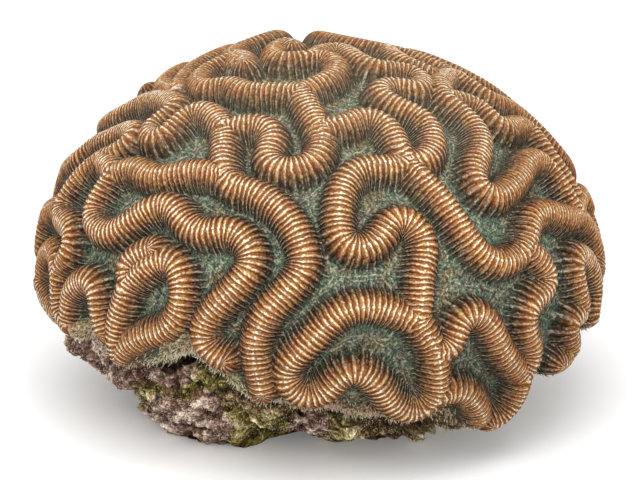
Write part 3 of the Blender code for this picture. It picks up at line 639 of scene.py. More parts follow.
@dataclass
class ColonySurface:
    """The colony's living surface: where each direction from the dome's middle meets it.

    Attributes:
        net: the ridges.
        border_pitch: pitch of the drawing cube's lower border, in degrees.
        rib_cut: depth of the gaps between ribs at the flanks.
        waver: how far the ribs sway, in ribs, over waver_size.
        waver_size: size of that sway.
        join_waver: how many times more they sway where ridges meet.
        floor_lump: height of the small lumps of the valley floors.
        frill: how far the rib ends stand out at the lower edge.
        frill_height: how far up from the edge they do.
        sunk: how far the whole skin lies inside the solids' crest.
    """

    net: RidgeNet
    border_pitch: float = -25.0
    rib_cut: float = 0.00044
    waver: float = 0.30
    waver_size: float = 0.0045
    join_waver: float = 1.7
    floor_lump: float = 0.00035
    frill: float = 0.0011
    frill_height: float = 0.0022
    sunk: float = 0.0001
    edge: list[tuple[float, float]] = field(init=False)

    # Depth of the gaps between ribs by distance from the crest, and where the floor's lumps start
    RIB_STRENGTH = ((0.0, 0.45), (0.12, 0.75), (0.35, 1.0), (0.85, 1.0), (1.10, 0.65), (1.45, 0.30))
    FLOOR_START = (0.75, 1.15)
    # Strength and size of the layers of the floor's lumps
    FLOOR_LAYERS = ((1.0, 0.0030), (0.6, 0.0014))

    def __post_init__(self) -> None:
        """Trace the lower edge by azimuth."""
        rows = []
        for x, y in EDGE_SEEN:
            spot = Sheet.PHOTO.direction(x, y)
            rows.append((float(azimuth_of(spot)), spot[2] * DOME_RISE - EDGE_CURL))
        rows = sorted(rows + [(azimuth, -drop) for azimuth, drop in EDGE_UNSEEN])
        turns = np.arange(-180.0, 180.0, EDGE_STEP)
        heights = sum(around(rows, turns + shift) for shift in EDGE_BLUR) / len(EDGE_BLUR)
        self.edge = list(zip(turns.tolist(), heights.tolist()))

    def rim_height(self, azimuth: Array) -> Array:
        """Return the lower edge's height, relative to the dome's middle."""
        return around(self.edge, azimuth)

    def border(self, azimuth: Array) -> Array:
        """Return the latitude of the drawing cube's lower border, in radians."""
        within = np.radians(azimuth - 90.0 * np.round(azimuth / 90.0))
        return np.arctan(math.tan(math.radians(self.border_pitch)) * np.cos(within))

    def place(self, directions: Array) -> tuple[Array, RibReading, Array]:
        """Return the surface that directions from the dome's middle meet.

        Args:
            directions: unit vectors on the drawing cube's sphere, one row each.

        Returns:
            The points in metres about the dome's middle, the ribs' reading, and the height of each
            above the lower edge, measured along the surface in metres.
        """
        azimuth = azimuth_of(directions)
        latitude = np.arcsin(np.clip(directions[:, 2], -1.0, 1.0))
        rim = np.arcsin(self.rim_height(azimuth) / DOME_RISE)
        border = self.border(azimuth)
        share = (latitude - border) / (0.5 * math.pi - border)
        angle = rim + share * (0.5 * math.pi - rim)
        sphere = toward(azimuth, angle)
        crest = sphere @ DOME.T
        normal = unit(sphere @ DOME_INVERSE)
        reading = self.net.read(crest)
        waver = self.waver * (1.0 + self.join_waver * self.net.near_join(crest))
        reading.rib += waver * (grain(crest, self.waver_size) + 0.3 * grain(crest, 0.3 * self.waver_size))
        above = (angle - rim) * DOME_RISE
        depth = self.relief(reading, crest) + self.lip(above) + self.swell(sphere)
        points = crest - normal * depth[:, None]
        points[:, 2] += self.frill * self.gap(reading) * (1.0 - eased(above, 0.0, self.frill_height))
        return points, reading, above

    @staticmethod
    def gap(reading: RibReading) -> Array:
        """Return 0 on the ribs and 1 between them."""
        return 0.5 - 0.5 * np.cos(2.0 * math.pi * reading.rib)

    def relief(self, reading: RibReading, crest: Array) -> Array:
        """Return how far the surface lies below the crest, with its ribs and lumps."""
        v = reading.distance / RIDGE_HALF_WIDTH
        share = np.minimum(v, 1.0)
        wall = 1.0 - (1.0 - share ** WALL_ROUNDNESS) ** WALL_STEEPNESS
        depth = VALLEY_DEPTH * wall + VALLEY_SAG * np.clip(v - VALLEY_START, 0.0, 1.0)
        stops, strength = np.array(self.RIB_STRENGTH).T
        depth += self.rib_cut * self.gap(reading) * np.interp(v, stops, strength)
        lump = sum(strength * grain(crest, size) for strength, size in self.FLOOR_LAYERS)
        return depth + self.floor_lump * lump * eased(v, *self.FLOOR_START) + self.sunk

    @staticmethod
    def swell(sphere: Array) -> Array:
        """Return how far the dome itself lies below the ellipsoid."""
        drop = np.zeros(len(sphere))
        for (x, y), depth, reach in SWELLS:
            away = np.degrees(np.arccos(np.minimum(1.0, sphere @ Sheet.PHOTO.direction(x, y))))
            drop += depth * np.exp(-(away / reach) ** 2)
        return drop

    @staticmethod
    def lip(above: Array) -> Array:
        """Return how far the surface turns in towards the lower edge."""
        lip = np.clip(above / LIP_RADIUS, 0.0, 1.0)
        return LIP_RADIUS * (1.0 - np.sqrt(1.0 - (1.0 - lip) ** 2))


class Patch(Enum):
    """The faces, all but the bottom, of the cube that the colony's surface is drawn on."""

    FRONT = 0
    RIGHT = 1
    BACK = 2
    LEFT = 3
    CROWN = 4

    def directions(self, across: Array, upward: Array) -> Array:
        """Return unit vectors for angles across and up the face, in radians."""
        if self is Patch.CROWN:
            return unit(np.stack([np.tan(across), np.tan(upward), np.ones_like(across)], axis=-1))
        turn = across + 0.5 * math.pi * self.value
        flat = np.stack([np.sin(turn), -np.cos(turn), np.tan(upward) * np.cos(across)], axis=-1)
        return unit(flat)


def paint(colour: str) -> tuple[float, float, float, float]:
    """Return an sRGB colour such as "#C8842F" as linear values."""
    parts = [int(colour[start:start + 2], 16) / 255.0 for start in (1, 3, 5)]
    linear = [part / 12.92 if part <= 0.04045 else ((part + 0.055) / 1.055) ** 2.4 for part in parts]
    return (*linear, 1.0)


@dataclass(frozen=True)
class Fade:
    """A smooth step, from the value start where it reads low to the value end where it reads high."""

    low: float
    high: float
    start: float = 0.0
    end: float = 1.0


@dataclass(frozen=True)
class Lumps:
    """Noise on the object's own place: its size in metres, its finer layers and how strong they are."""

    size: float
    detail: float = 3.0
    rough: float = 0.55


@dataclass(frozen=True)
class Blotch:
    """Spots of one sRGB colour over another: the noise that places them, and how they fade with it."""

    colour: str
    lumps: Lumps
    fade: Fade


@dataclass(frozen=True)
class RibLine:
    """A broken line along every rib.

    Attributes:
        shift: its place beside the rib's middle, in ribs.
        edge: how it fades away from its own middle, where the wave of ribs is 1.
        breaks: the noise that breaks it.
        gaps: how it fades with that noise.
        lines: lines to each rib.
    """

    shift: float
    edge: Fade
    breaks: Lumps
    gaps: Fade
    lines: float = 1.0


class NodeBench:
    """Makes one material's nodes and joins them."""

    # The margin turns from green to brown over this stretch of the front, from left to right
    BROWN_SIDE = Fade(-0.024, 0.004)
    BROWN_LUMPS = Lumps(0.012, 2.0)
    BROWN_WAVER = 0.03

    def __init__(self, name: str) -> None:
        """Start a material with its shader."""
        self.material = bpy.data.materials.new(name)
        self.material.use_nodes = True
        self.tree = self.material.node_tree
        self.shader = self.tree.nodes["Principled BSDF"]
        self.place = self.node("ShaderNodeTexCoord").outputs["Object"]

    def node(self, kind: str, **settings: object) -> bpy.types.Node:
        """Add a node and set its properties."""
        made = self.tree.nodes.new(kind)
        for name, value in settings.items():
            setattr(made, name, value)
        return made

    def feed(self, socket: Socket, value: object) -> None:
        """Join a socket to an output, or set it to a plain value."""
        if isinstance(value, Socket):
            self.tree.links.new(value, socket)
        else:
            socket.default_value = value

    def sum(self, operation: str, *values: object) -> Socket:
        """Return the output of a Math node over the values."""
        made = self.node("ShaderNodeMath", operation=operation)
        for socket, value in zip(made.inputs, values):
            self.feed(socket, value)
        return made.outputs[0]

    def times(self, *values: object) -> Socket:
        """Return the product of the values."""
        return reduce(lambda first, second: self.sum("MULTIPLY", first, second), values)

    def total(self, *values: object) -> Socket:
        """Return the sum of the values."""
        return reduce(lambda first, second: self.sum("ADD", first, second), values)

    def span(self, value: object, fade: Fade) -> Socket:
        """Return the value put through a smooth step."""
        made = self.node("ShaderNodeMapRange", interpolation_type="SMOOTHSTEP")
        for socket, given in zip(made.inputs, (value, fade.low, fade.high, fade.start, fade.end)):
            self.feed(socket, given)
        return made.outputs[0]

    def mix(self, share: object, first: object, second: object, blend: str = "MIX") -> Socket:
        """Return two colours mixed by a share."""
        made = self.node("ShaderNodeMix", data_type="RGBA", blend_type=blend)
        for key, value in (("Factor", share), (6, first), (7, second)):
            self.feed(made.inputs[key], value)
        return made.outputs[2]

    def tint(self, share: object, colour: Socket, over: str) -> Socket:
        """Return a colour with an sRGB colour laid over it by a share."""
        return self.mix(share, colour, paint(over))

    def shade(self, colour: Socket, *levels: Socket) -> Socket:
        """Return a colour made lighter or darker by levels."""
        grey = self.node("ShaderNodeCombineColor")
        level = self.times(*levels)
        for socket in grey.inputs[:3]:
            self.feed(socket, level)
        return self.mix(1.0, colour, grey.outputs[0], "MULTIPLY")

    def ramp(self, value: object, stops: Sequence[tuple[float, str]]) -> Socket:
        """Return colours along a value, from (place, sRGB colour) stops."""
        made = self.node("ShaderNodeValToRGB")
        bar = made.color_ramp.elements
        while len(bar) < len(stops):
            bar.new(0.5)
        for element, (place, colour) in zip(bar, stops):
            element.position = place
            element.color = paint(colour)
        self.feed(made.inputs[0], value)
        return made.outputs[0]

    def noise(self, lumps: Lumps) -> Socket:
        """Return noise from 0 to 1."""
        made = self.node("ShaderNodeTexNoise", noise_dimensions="3D")
        for name, value in (("Vector", self.place), ("Scale", 1.0 / lumps.size),
                            ("Detail", lumps.detail), ("Roughness", lumps.rough)):
            self.feed(made.inputs[name], value)
        return made.outputs[0]

    def waver(self, lumps: Lumps, width: float, middle: float = 0.0) -> Socket:
        """Return noise over a width about its middle."""
        return self.sum("MULTIPLY_ADD", self.noise(lumps), width, middle - 0.5 * width)

    def patches(self, lumps: Lumps, fade: Fade) -> Socket:
        """Return noise put through a smooth step."""
        return self.span(self.noise(lumps), fade)

    def blot(self, colour: Socket, *blotches: Blotch) -> Socket:
        """Return a colour with kinds of spots laid over it, one after the other."""
        for blotch in blotches:
            colour = self.tint(self.patches(blotch.lumps, blotch.fade), colour, blotch.colour)
        return colour

    def wave(self, count: object, shift: float = 0.0, lines: float = 1.0) -> Socket:
        """Return a wave from 0 to 1 that peaks wherever the count is a whole number, less the shift."""
        turn = self.sum("MULTIPLY_ADD", count, 2.0 * math.pi * lines, -2.0 * math.pi * shift)
        return self.sum("MULTIPLY_ADD", self.sum("COSINE", turn), 0.5, 0.5)

    def line(self, count: Socket, line: RibLine) -> Socket:
        """Return how strong a broken line along the ribs is."""
        return self.times(self.span(self.wave(count, line.shift, line.lines), line.edge),
                          self.patches(line.breaks, line.gaps))

    def axes(self, vector: Socket) -> Sequence[Socket]:
        """Return a vector's three values."""
        split = self.node("ShaderNodeSeparateXYZ")
        self.feed(split.inputs[0], vector)
        return split.outputs[:]

    def brown_side(self) -> Socket:
        """Return 0 on the left of the front, where the margin is green, and 1 where it is brown."""
        across = self.total(self.axes(self.place)[0], self.waver(self.BROWN_LUMPS, self.BROWN_WAVER))
        return self.span(across, self.BROWN_SIDE)

    def reading(self, name: str) -> Socket:
        """Return the mesh's own value of a name."""
        return self.node("ShaderNodeAttribute", attribute_name=name).outputs["Fac"]

    def finish(self, colour: object, roughness: float, gloss: float) -> bpy.types.Material:
        """Give the shader its colour and gloss, and return the material."""
        self.feed(self.shader.inputs["Base Color"], colour)
        self.shader.inputs["Roughness"].default_value = roughness
        self.shader.inputs["Specular IOR Level"].default_value = gloss
        return self.material

    def bump(self, height: Socket) -> None:
        """Give the shader bumps from heights in metres."""
        made = self.node("ShaderNodeBump")
        for name, value in (("Strength", 1.0), ("Distance", 1.0), ("Height", height)):
            self.feed(made.inputs[name], value)
        self.feed(self.shader.inputs["Normal"], made.outputs[0])


@dataclass(frozen=True)
class LivingSkin:
    """The living skin over the ribs: gold-brown bars with pale crests above green valleys.

    The mesh gives each place its count of ribs and its reach, 0 on a ridge's crest and 1 at its foot.
    """

    name: str = "living coral skin"
    roughness: float = 0.72
    gloss: float = 0.09
    bar_height: float = 0.00026
    seam_depth: float = 0.00010
    thread_height: float = 0.00016
    grain_height: float = 0.00014

    # Colours from the crest outwards: the bars lighter at the crest and darker towards the foot, the gaps
    # between ribs darker still, partly the skin's own colour and partly painted light and shade
    BAR = ((0.00, "#B28049"), (0.12, "#A97139"), (0.35, "#955A28"), (0.55, "#784520"), (0.72, "#54341E"),
           (0.90, "#34261B"))
    # Pale streak along the ribs: partly the ribs' own pale lines, partly a painted highlight
    STREAK_GLINT = ((0.00, "#F9F0DE"), (0.25, "#F0E2C9"), (0.50, "#DAC7A9"), (0.72, "#B3A590"), (0.95, "#938F82"))
    GAP = ((0.00, "#94652F"), (0.12, "#885522"), (0.35, "#693E17"), (0.60, "#3C2410"), (0.90, "#17120B"))
    # Colours along a mottling noise
    MOSS = ((0.34, "#18221D"), (0.46, "#425446"), (0.54, "#67775F"), (0.66, "#A6AD92"))
    SILT = ((0.36, "#241D19"), (0.47, "#574A42"), (0.54, "#7C6F66"), (0.64, "#B3AA9C"))
    OCHRE = ((0.36, "#241B10"), (0.47, "#5C4A2D"), (0.54, "#83704A"), (0.65, "#B8A67E"))
    MARGIN = ((0.36, "#2A2317"), (0.46, "#6C6342"), (0.54, "#A69A75"), (0.64, "#E8DDC0"))
    UMBER = ((0.36, "#19130D"), (0.46, "#4A3823"), (0.54, "#766040"), (0.65, "#BCA984"))
    CRUST = ((0.36, "#15110B"), (0.50, "#40351F"), (0.64, "#8A7A58"))

    # The ribs: their sway, the bars' edge, the mottling of the bars and the lines on them; the pale streak
    # along each rib is partly its own pale line and partly a painted highlight, strongest near the crest
    SWAY = Lumps(0.0015, 2.0)
    SWAY_WIDTH = 0.34
    BAR_EDGE = Fade(0.02, 0.37)
    RUST = Blotch("#944B27", Lumps(0.0017), Fade(0.50, 0.66, 0.0, 0.70))
    GOLD = Blotch("#B5893F", Lumps(0.0026), Fade(0.50, 0.66, 0.0, 0.60))
    # Painted shade over the bars of the lower flanks
    FLANK_SHADE = Fade(0.52, 0.92, 0.0, 0.70)
    FLANK_SHADE_COLOUR = "#443121"
    BAR_LUCK = 0.34
    BAR_LUMPS = Lumps(0.010)
    BAR_TONE = (0.5, 0.77)
    STREAK_GLINT_LINE = RibLine(0.06, Fade(0.70, 0.97), Lumps(0.0009, 4.0, 0.7), Fade(0.38, 0.58, 0.20, 1.0))
    STREAK_GLINT_FADE = Fade(0.08, 0.75, 0.88, 0.38)
    FINE_LINE = RibLine(0.62, Fade(0.88, 1.0), Lumps(0.0019), Fade(0.44, 0.60, 0.0, 0.55))
    FINE_COLOUR = "#B89A76"
    # The seam of beads along the crest
    SEAM_SWAY = Lumps(0.0012, 2.0)
    SEAM_SWAY_WIDTH = 0.10
    SEAM_EDGE = Fade(0.01, 0.07, 0.8, 0.0)
    SEAM_BREAKS = (Lumps(0.0014), Fade(0.36, 0.54, 0.30, 1.0))
    BEAD_EDGE = Fade(0.22, 0.62)
    DOT_COLOUR = "#59462E"
    BEAD_COLOUR = "#EFE2CA"
    # The ragged line where skin and valley meet, the shade at the foot and the pale hairs over it
    RAGGED_LUCK = 0.16
    RAGGED = Lumps(0.0011)
    RAGGED_WIDTH = (0.44, -0.08)
    VALLEY_EDGE = Fade(0.77, 1.06)
    FOOT_SHADE = Fade(0.80, 1.35, 0.65, 0.0)
    FOOT_COLOUR = "#191A13"
    HAIR_LINE = RibLine(0.10, Fade(0.88, 1.0), Lumps(0.0013, 2.0), Fade(0.40, 0.58))
    HAIR_FADES = (Fade(0.62, 0.82), Fade(0.95, 1.35, 0.85, 0.0))
    HAIR_COLOUR = "#A9A392"
    # Painted shade, darker low down and towards the right, and painted light, paler over the crown, by height
    # and across in metres, and the speckle over everything
    VALLEY_LOW_SHADE = Fade(0.030, 0.078, 0.70, 1.04)
    VALLEY_RIGHT_SHADE = Fade(0.030, 0.085, 1.0, 0.86)
    CROWN_PAINTED_LIGHT = Fade(0.080, 0.118, 0.0, 0.09)
    CROWN_LIGHT_COLOUR = "#CDB695"
    SKIN_DUSK = Fade(0.022, 0.075, 0.74, 0.95)
    SPECKLE = (Lumps(0.0007, 3.0, 0.7), Fade(0.34, 0.66, 0.60, 1.32))
    # The valley floors: patches, hairlines, specks, and the threads along the middle with their shade
    MOTTLE = Lumps(0.0012, 6.0, 0.78)
    FLOOR_PATCHES = (((Lumps(0.0034, 4.0), Fade(0.47, 0.60, 0.0, 0.85)), SILT),
                     ((Lumps(0.0085, 4.0), Fade(0.50, 0.64, 0.0, 0.80)), OCHRE))
    FLOOR_LINE = RibLine(0.10, Fade(0.70, 1.0), Lumps(0.0010), Fade(0.42, 0.62, 0.0, 0.60), lines=2.0)
    FLOOR_COLOUR = "#A3AD98"
    SPECK = Blotch("#5E3A2C", Lumps(0.0013, 2.0), Fade(0.64, 0.72, 0.0, 0.75))
    THREAD_SWAY = Lumps(0.0065)
    THREAD_WIDTH = (0.0034, 0.00045)
    THREAD_BREAKS = (Lumps(0.0012), Fade(0.40, 0.62, 0.05, 0.62))
    THREADS = ((Fade(0.0003, 0.0009, 0.55, 0.0), "#2A2A20"), (Fade(0.0001, 0.00034, 1.0, 0.0), "#C3BFA4"))
    # The growing margin and the crust under the lip
    MARGIN_MOTTLE = Lumps(0.0011, 6.0, 0.80)
    MARGIN_LUMPS = Lumps(0.0022, 4.0)
    MARGIN_WAVER = 0.9
    MARGIN_EDGE = Fade(0.34, 0.66, 0.0, 0.92)
    UNDER_MOTTLE = Lumps(0.0013, 5.0, 0.75)
    UNDER_EDGE = Fade(0.0, 0.7, 0.0, 0.9)
    # The relief
    BAR_RELIEF = Fade(0.95, 1.5, 1.0, 0.25)
    SEAM_RELIEF = Fade(0.0, 0.06, 1.0, 0.0)
    THREAD_RELIEF = Fade(0.0001, 0.0006, 1.0, 0.0)
    GRAIN = Lumps(0.0009, 5.0, 0.75)

    def make(self) -> bpy.types.Material:
        """Build the material."""
        bench = NodeBench(self.name)
        ribs, reach, _ = bench.axes(bench.node("ShaderNodeUVMap", uv_map="ribs").outputs[0])
        across, _, level = bench.axes(bench.place)
        count = bench.total(ribs, bench.waver(self.SWAY, self.SWAY_WIDTH))
        chance = bench.node("ShaderNodeTexWhiteNoise", noise_dimensions="1D")
        bench.feed(chance.inputs["W"], bench.sum("ROUND", count))
        luck = chance.outputs["Value"]
        wave = bench.wave(count)
        bar = bench.span(wave, self.BAR_EDGE)
        # Bars over gaps: partly their own colour, partly painted shade darkening the gaps and the flanks
        # towards the foot
        colour = bench.mix(bar, bench.ramp(reach, self.GAP), self._bar(bench, reach, luck))
        # Pale streaks: partly the ribs' own lines, partly a painted highlight, strongest near the crest
        streak_glint = bench.times(bench.line(count, self.STREAK_GLINT_LINE), bench.span(reach, self.STREAK_GLINT_FADE))
        colour = bench.mix(streak_glint, colour, bench.ramp(reach, self.STREAK_GLINT))
        colour = bench.tint(bench.line(count, self.FINE_LINE), colour, self.FINE_COLOUR)
        colour = self._seam(bench, reach, wave, colour)
        ragged = bench.waver(self.RAGGED, *self.RAGGED_WIDTH)
        depth = bench.total(reach, bench.sum("MULTIPLY_ADD", luck, self.RAGGED_LUCK, ragged))
        valley = bench.tint(bench.span(reach, self.FOOT_SHADE), self._valley(bench, count), self.FOOT_COLOUR)
        # Painted shade: the valleys darker low down and towards the right
        valley = bench.shade(valley, bench.span(level, self.VALLEY_LOW_SHADE), bench.span(across, self.VALLEY_RIGHT_SHADE))
        colour = bench.mix(bench.span(depth, self.VALLEY_EDGE), colour, valley)
        fades = (bench.span(depth, fade) for fade in self.HAIR_FADES)
        hair = bench.times(bench.line(count, self.HAIR_LINE), *fades)
        colour = bench.tint(hair, colour, self.HAIR_COLOUR)
        # Painted light: the skin paler towards the top of the crown
        colour = bench.tint(bench.span(level, self.CROWN_PAINTED_LIGHT), colour, self.CROWN_LIGHT_COLOUR)
        # The speckle, with painted shade darkening the skin low down
        colour = bench.shade(colour, bench.patches(*self.SPECKLE), bench.span(level, self.SKIN_DUSK))
        colour = self._under(bench, self._margin(bench, colour))
        bench.bump(self._relief(bench, reach, bar))
        return bench.finish(colour, self.roughness, self.gloss)

    def _relief(self, bench: NodeBench, reach: Socket, bar: Socket) -> Socket:
        """Return the heights of the bars, the seam, the grain and the valleys' threads."""
        return bench.total(
            bench.times(bar, bench.span(reach, self.BAR_RELIEF), self.bar_height),
            bench.times(bench.span(reach, self.SEAM_RELIEF), -self.seam_depth),
            bench.times(bench.noise(self.GRAIN), self.grain_height),
            bench.times(bench.span(bench.reading("midline"), self.THREAD_RELIEF), self.thread_height))

    def _bar(self, bench: NodeBench, reach: Socket, luck: Socket) -> Socket:
        """Return the ribs' colour, mottled with rust and gold, a little different on each rib, with painted
        shade over the lower flanks.
        """
        colour = bench.blot(bench.ramp(reach, self.BAR), self.RUST, self.GOLD)
        colour = bench.tint(bench.span(reach, self.FLANK_SHADE), colour, self.FLANK_SHADE_COLOUR)
        tone = bench.waver(self.BAR_LUMPS, *self.BAR_TONE)
        return bench.shade(colour, bench.sum("MULTIPLY_ADD", luck, self.BAR_LUCK, tone))

    def _seam(self, bench: NodeBench, reach: Socket, wave: Socket, colour: Socket) -> Socket:
        """Set the broken row of pale beads along the crest, with dark dots between them."""
        warped = bench.total(reach, bench.waver(self.SEAM_SWAY, self.SEAM_SWAY_WIDTH))
        band = bench.times(bench.span(warped, self.SEAM_EDGE), bench.patches(*self.SEAM_BREAKS))
        beads = bench.mix(bench.span(wave, self.BEAD_EDGE), paint(self.DOT_COLOUR), paint(self.BEAD_COLOUR))
        return bench.mix(band, colour, beads)

    def _valley(self, bench: NodeBench, count: Socket) -> Socket:
        """Return the colour of the valley floors, with hairlines across and threads along the middle."""
        mottle = bench.noise(self.MOTTLE)
        colour = bench.ramp(mottle, self.MOSS)
        for patch, stops in self.FLOOR_PATCHES:
            colour = bench.mix(bench.patches(*patch), colour, bench.ramp(mottle, stops))
        colour = bench.tint(bench.line(count, self.FLOOR_LINE), colour, self.FLOOR_COLOUR)
        colour = bench.blot(colour, self.SPECK)
        offset = bench.sum("MAXIMUM", bench.waver(self.THREAD_SWAY, *self.THREAD_WIDTH), 0.0)
        away = bench.sum("ABSOLUTE", bench.sum("SUBTRACT", bench.reading("midline"), offset))
        broken = bench.patches(*self.THREAD_BREAKS)
        for fade, thread in self.THREADS:
            colour = bench.tint(bench.times(bench.span(away, fade), broken), colour, thread)
        return colour

    def _margin(self, bench: NodeBench, colour: Socket) -> Socket:
        """Fade the skin to the grey-green of the growing margin."""
        mottle = bench.noise(self.MARGIN_MOTTLE)
        rim = bench.mix(bench.brown_side(), bench.ramp(mottle, self.MARGIN), bench.ramp(mottle, self.UMBER))
        share = bench.total(bench.reading("margin"), bench.waver(self.MARGIN_LUMPS, self.MARGIN_WAVER))
        return bench.mix(bench.span(share, self.MARGIN_EDGE), colour, rim)

    def _under(self, bench: NodeBench, colour: Socket) -> Socket:
        """Cover the skin of the underside with its dull brown crust."""
        crust = bench.ramp(bench.noise(self.UNDER_MOTTLE), self.CRUST)
        return bench.mix(bench.span(bench.reading("under"), self.UNDER_EDGE), colour, crust)


@dataclass(frozen=True)
class FringeSkin:
    """The ragged fringe of the growing margin: dull green or brown roots with whitish tips."""

    name: str = "margin fringe"
    roughness: float = 0.70
    gloss: float = 0.15
    grain_height: float = 0.00012
    brownness: float = 0.8

    TIPS = ((0.15, "#443C22"), (0.40, "#857A55"), (0.70, "#C9BD9A"), (1.00, "#F8F1E0"))
    BROWN_TIPS = ((0.15, "#2A2015"), (0.40, "#5E4A30"), (0.70, "#A68E6A"), (1.00, "#EADCC0"))
    PINK = Blotch("#BC9688", Lumps(0.0070), Fade(0.46, 0.60, 0.0, 0.70))
    TONE = Lumps(0.0014, 4.0)
    TONE_WIDTH = (0.8, -0.05)
    GRAIN = Lumps(0.0006, 2.0)

    def make(self) -> bpy.types.Material:
        """Build the material."""
        bench = NodeBench(self.name)
        level = bench.total(bench.reading("lift"), bench.waver(self.TONE, *self.TONE_WIDTH))
        brown = bench.times(bench.brown_side(), self.brownness)
        colour = bench.mix(brown, bench.ramp(level, self.TIPS), bench.ramp(level, self.BROWN_TIPS))
        bench.bump(bench.times(bench.noise(self.GRAIN), self.grain_height))
        return bench.finish(bench.blot(colour, self.PINK), self.roughness, self.gloss)


@dataclass(frozen=True)
class RockCrust:
    """The crust of old reef rock: mauve coralline crust, olive turf and brown stone, with painted shade in
    the hollows between its knobs.
    """

    name: str = "encrusted rock"
    roughness: float = 0.82
    gloss: float = 0.12
    grain_height: float = 0.00048
    lift_middle: float = 0.43
    hollow_shade: float = 0.34

    MAUVE = ((0.35, "#1A100D"), (0.43, "#4B3530"), (0.50, "#7F605B"), (0.56, "#AC8D83"), (0.64, "#EDDECB"))
    OLIVE = ((0.35, "#0F0E08"), (0.43, "#353015"), (0.50, "#6B612C"), (0.56, "#9C8D4A"), (0.64, "#E2D6AA"))
    BROWN = ((0.35, "#0E0A07"), (0.43, "#362819"), (0.50, "#644F36"), (0.56, "#937B58"), (0.64, "#DACBA8"))
    MOTTLE = Lumps(0.0014, 7.0, 0.85)
    RAGGED = Lumps(0.0034, 7.0, 0.82)
    RAGGED_WIDTH = 2.6
    CRUST_EDGE = Fade(0.36, 0.70, 0.0, 0.85)
    PITS = Blotch("#171210", Lumps(0.0020, 4.0, 0.7), Fade(0.34, 0.46, 0.80, 0.0))
    RUST = Blotch("#6E4A22", Lumps(0.0024, 4.0, 0.7), Fade(0.53, 0.66, 0.0, 0.60))
    MOSS = Blotch("#4F5128", Lumps(0.0031, 4.0, 0.75), Fade(0.54, 0.66, 0.0, 0.55))
    SPECKLE = (Lumps(0.0008, 3.0, 0.7), Fade(0.34, 0.66, 0.70, 1.40))
    GRAIN = Lumps(0.0011, 6.0, 0.75)

    def make(self) -> bpy.types.Material:
        """Build the material."""
        bench = NodeBench(self.name)
        # Painted shade: darker where the knobs sink and at the turf's roots, lighter on the knobs and the
        # turf's tips
        lift = bench.times(bench.sum("SUBTRACT", bench.reading("lift"), self.lift_middle), self.hollow_shade)
        mottle = bench.total(bench.noise(self.MOTTLE), lift)
        colour = bench.ramp(mottle, self.BROWN)
        ragged = bench.waver(self.RAGGED, self.RAGGED_WIDTH)
        for name, stops in (("olive", self.OLIVE), ("mauve", self.MAUVE)):
            share = bench.span(bench.total(bench.reading(name), ragged), self.CRUST_EDGE)
            colour = bench.mix(share, colour, bench.ramp(mottle, stops))
        colour = bench.blot(colour, self.PITS, self.RUST, self.MOSS)
        bench.bump(bench.times(bench.noise(self.GRAIN), self.grain_height))
        return bench.finish(bench.shade(colour, bench.patches(*self.SPECKLE)), self.roughness, self.gloss)


@dataclass(frozen=True)
class FloorPaint:
    """The plain pale floor."""

    name: str = "pale floor"
    colour: str = "#F7F7F7"
    roughness: float = 0.9
    gloss: float = 0.0
    glow: float = 0.10

    def make(self) -> bpy.types.Material:
        """Build the material."""
        bench = NodeBench(self.name)
        bench.shader.inputs["Emission Color"].default_value = paint(self.colour)
        bench.shader.inputs["Emission Strength"].default_value = self.glow
        return bench.finish(paint(self.colour), self.roughness, self.gloss)


def keep(form: bmesh.types.BMesh, name: str) -> bpy.types.Mesh:
    """Return a new mesh of a form, and free the form."""
    mesh = bpy.data.meshes.new(name)
    form.to_mesh(mesh)
    form.free()
    return mesh


def spin_profile(name: str, shares: Sequence[float], steps: int) -> bpy.types.Mesh:
    """Return a cylinder of radius one about the upright axis, with its rings at the shares as heights."""
    form = bmesh.new()
    stops = [form.verts.new((1.0, 0.0, share)) for share in shares]
    edges = [form.edges.new(pair) for pair in zip(stops[:-1], stops[1:])]
    bmesh.ops.spin(form, geom=stops + edges, axis=(0.0, 0.0, 1.0), cent=(0.0, 0.0, 0.0),
                   angle=2.0 * math.pi, steps=steps, use_merge=True)
    return keep(form, name)


def vectors(mesh: bpy.types.Mesh, kind: str = "co") -> Array:
    """Return the places of a mesh's vertices, or their normals, one row each."""
    values = np.empty(3 * len(mesh.vertices))
    mesh.vertices.foreach_get(kind, values)
    return values.reshape(-1, 3)


def move(mesh: bpy.types.Mesh, places: Array) -> None:
    """Move a mesh's vertices to new places."""
    mesh.vertices.foreach_set("co", places.reshape(-1))


def along_profile(share: Array, stops: Sequence[float], radii: Array, heights: Array) -> tuple[Array, Array]:
    """Return radius and height at shares of the way along each row's profile."""
    low = np.clip(np.searchsorted(stops, share, side="right") - 1, 0, len(stops) - 2)
    row = np.arange(len(share))
    ends = np.asarray(stops)
    t = (share - ends[low]) / (ends[low + 1] - ends[low])
    return tuple(values[row, low] * (1.0 - t) + values[row, low + 1] * t for values in (radii, heights))


def show(mesh: bpy.types.Mesh, node: str, material: bpy.types.Material) -> None:
    """Put a finished mesh in the scene as a piece of the part, under the mesh's name.

    Args:
        mesh: the mesh, in metres, at its place.
        node: the solid that it stands for.
        material: its finish.
    """
    mesh.materials.append(material)
    piece = bpy.data.objects.new(mesh.name, mesh)
    bpy.context.scene.collection.objects.link(piece)
    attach(piece, "root")
    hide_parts(node)
    LOG.info("%s: %d faces", mesh.name, len(mesh.polygons))


def write_value(mesh: bpy.types.Mesh, name: str, values: Array) -> None:
    """Keep one value per vertex on the mesh under a name."""
    made = mesh.attributes.new(name, "FLOAT", "POINT")
    made.data.foreach_set("value", np.ascontiguousarray(values, np.float32))


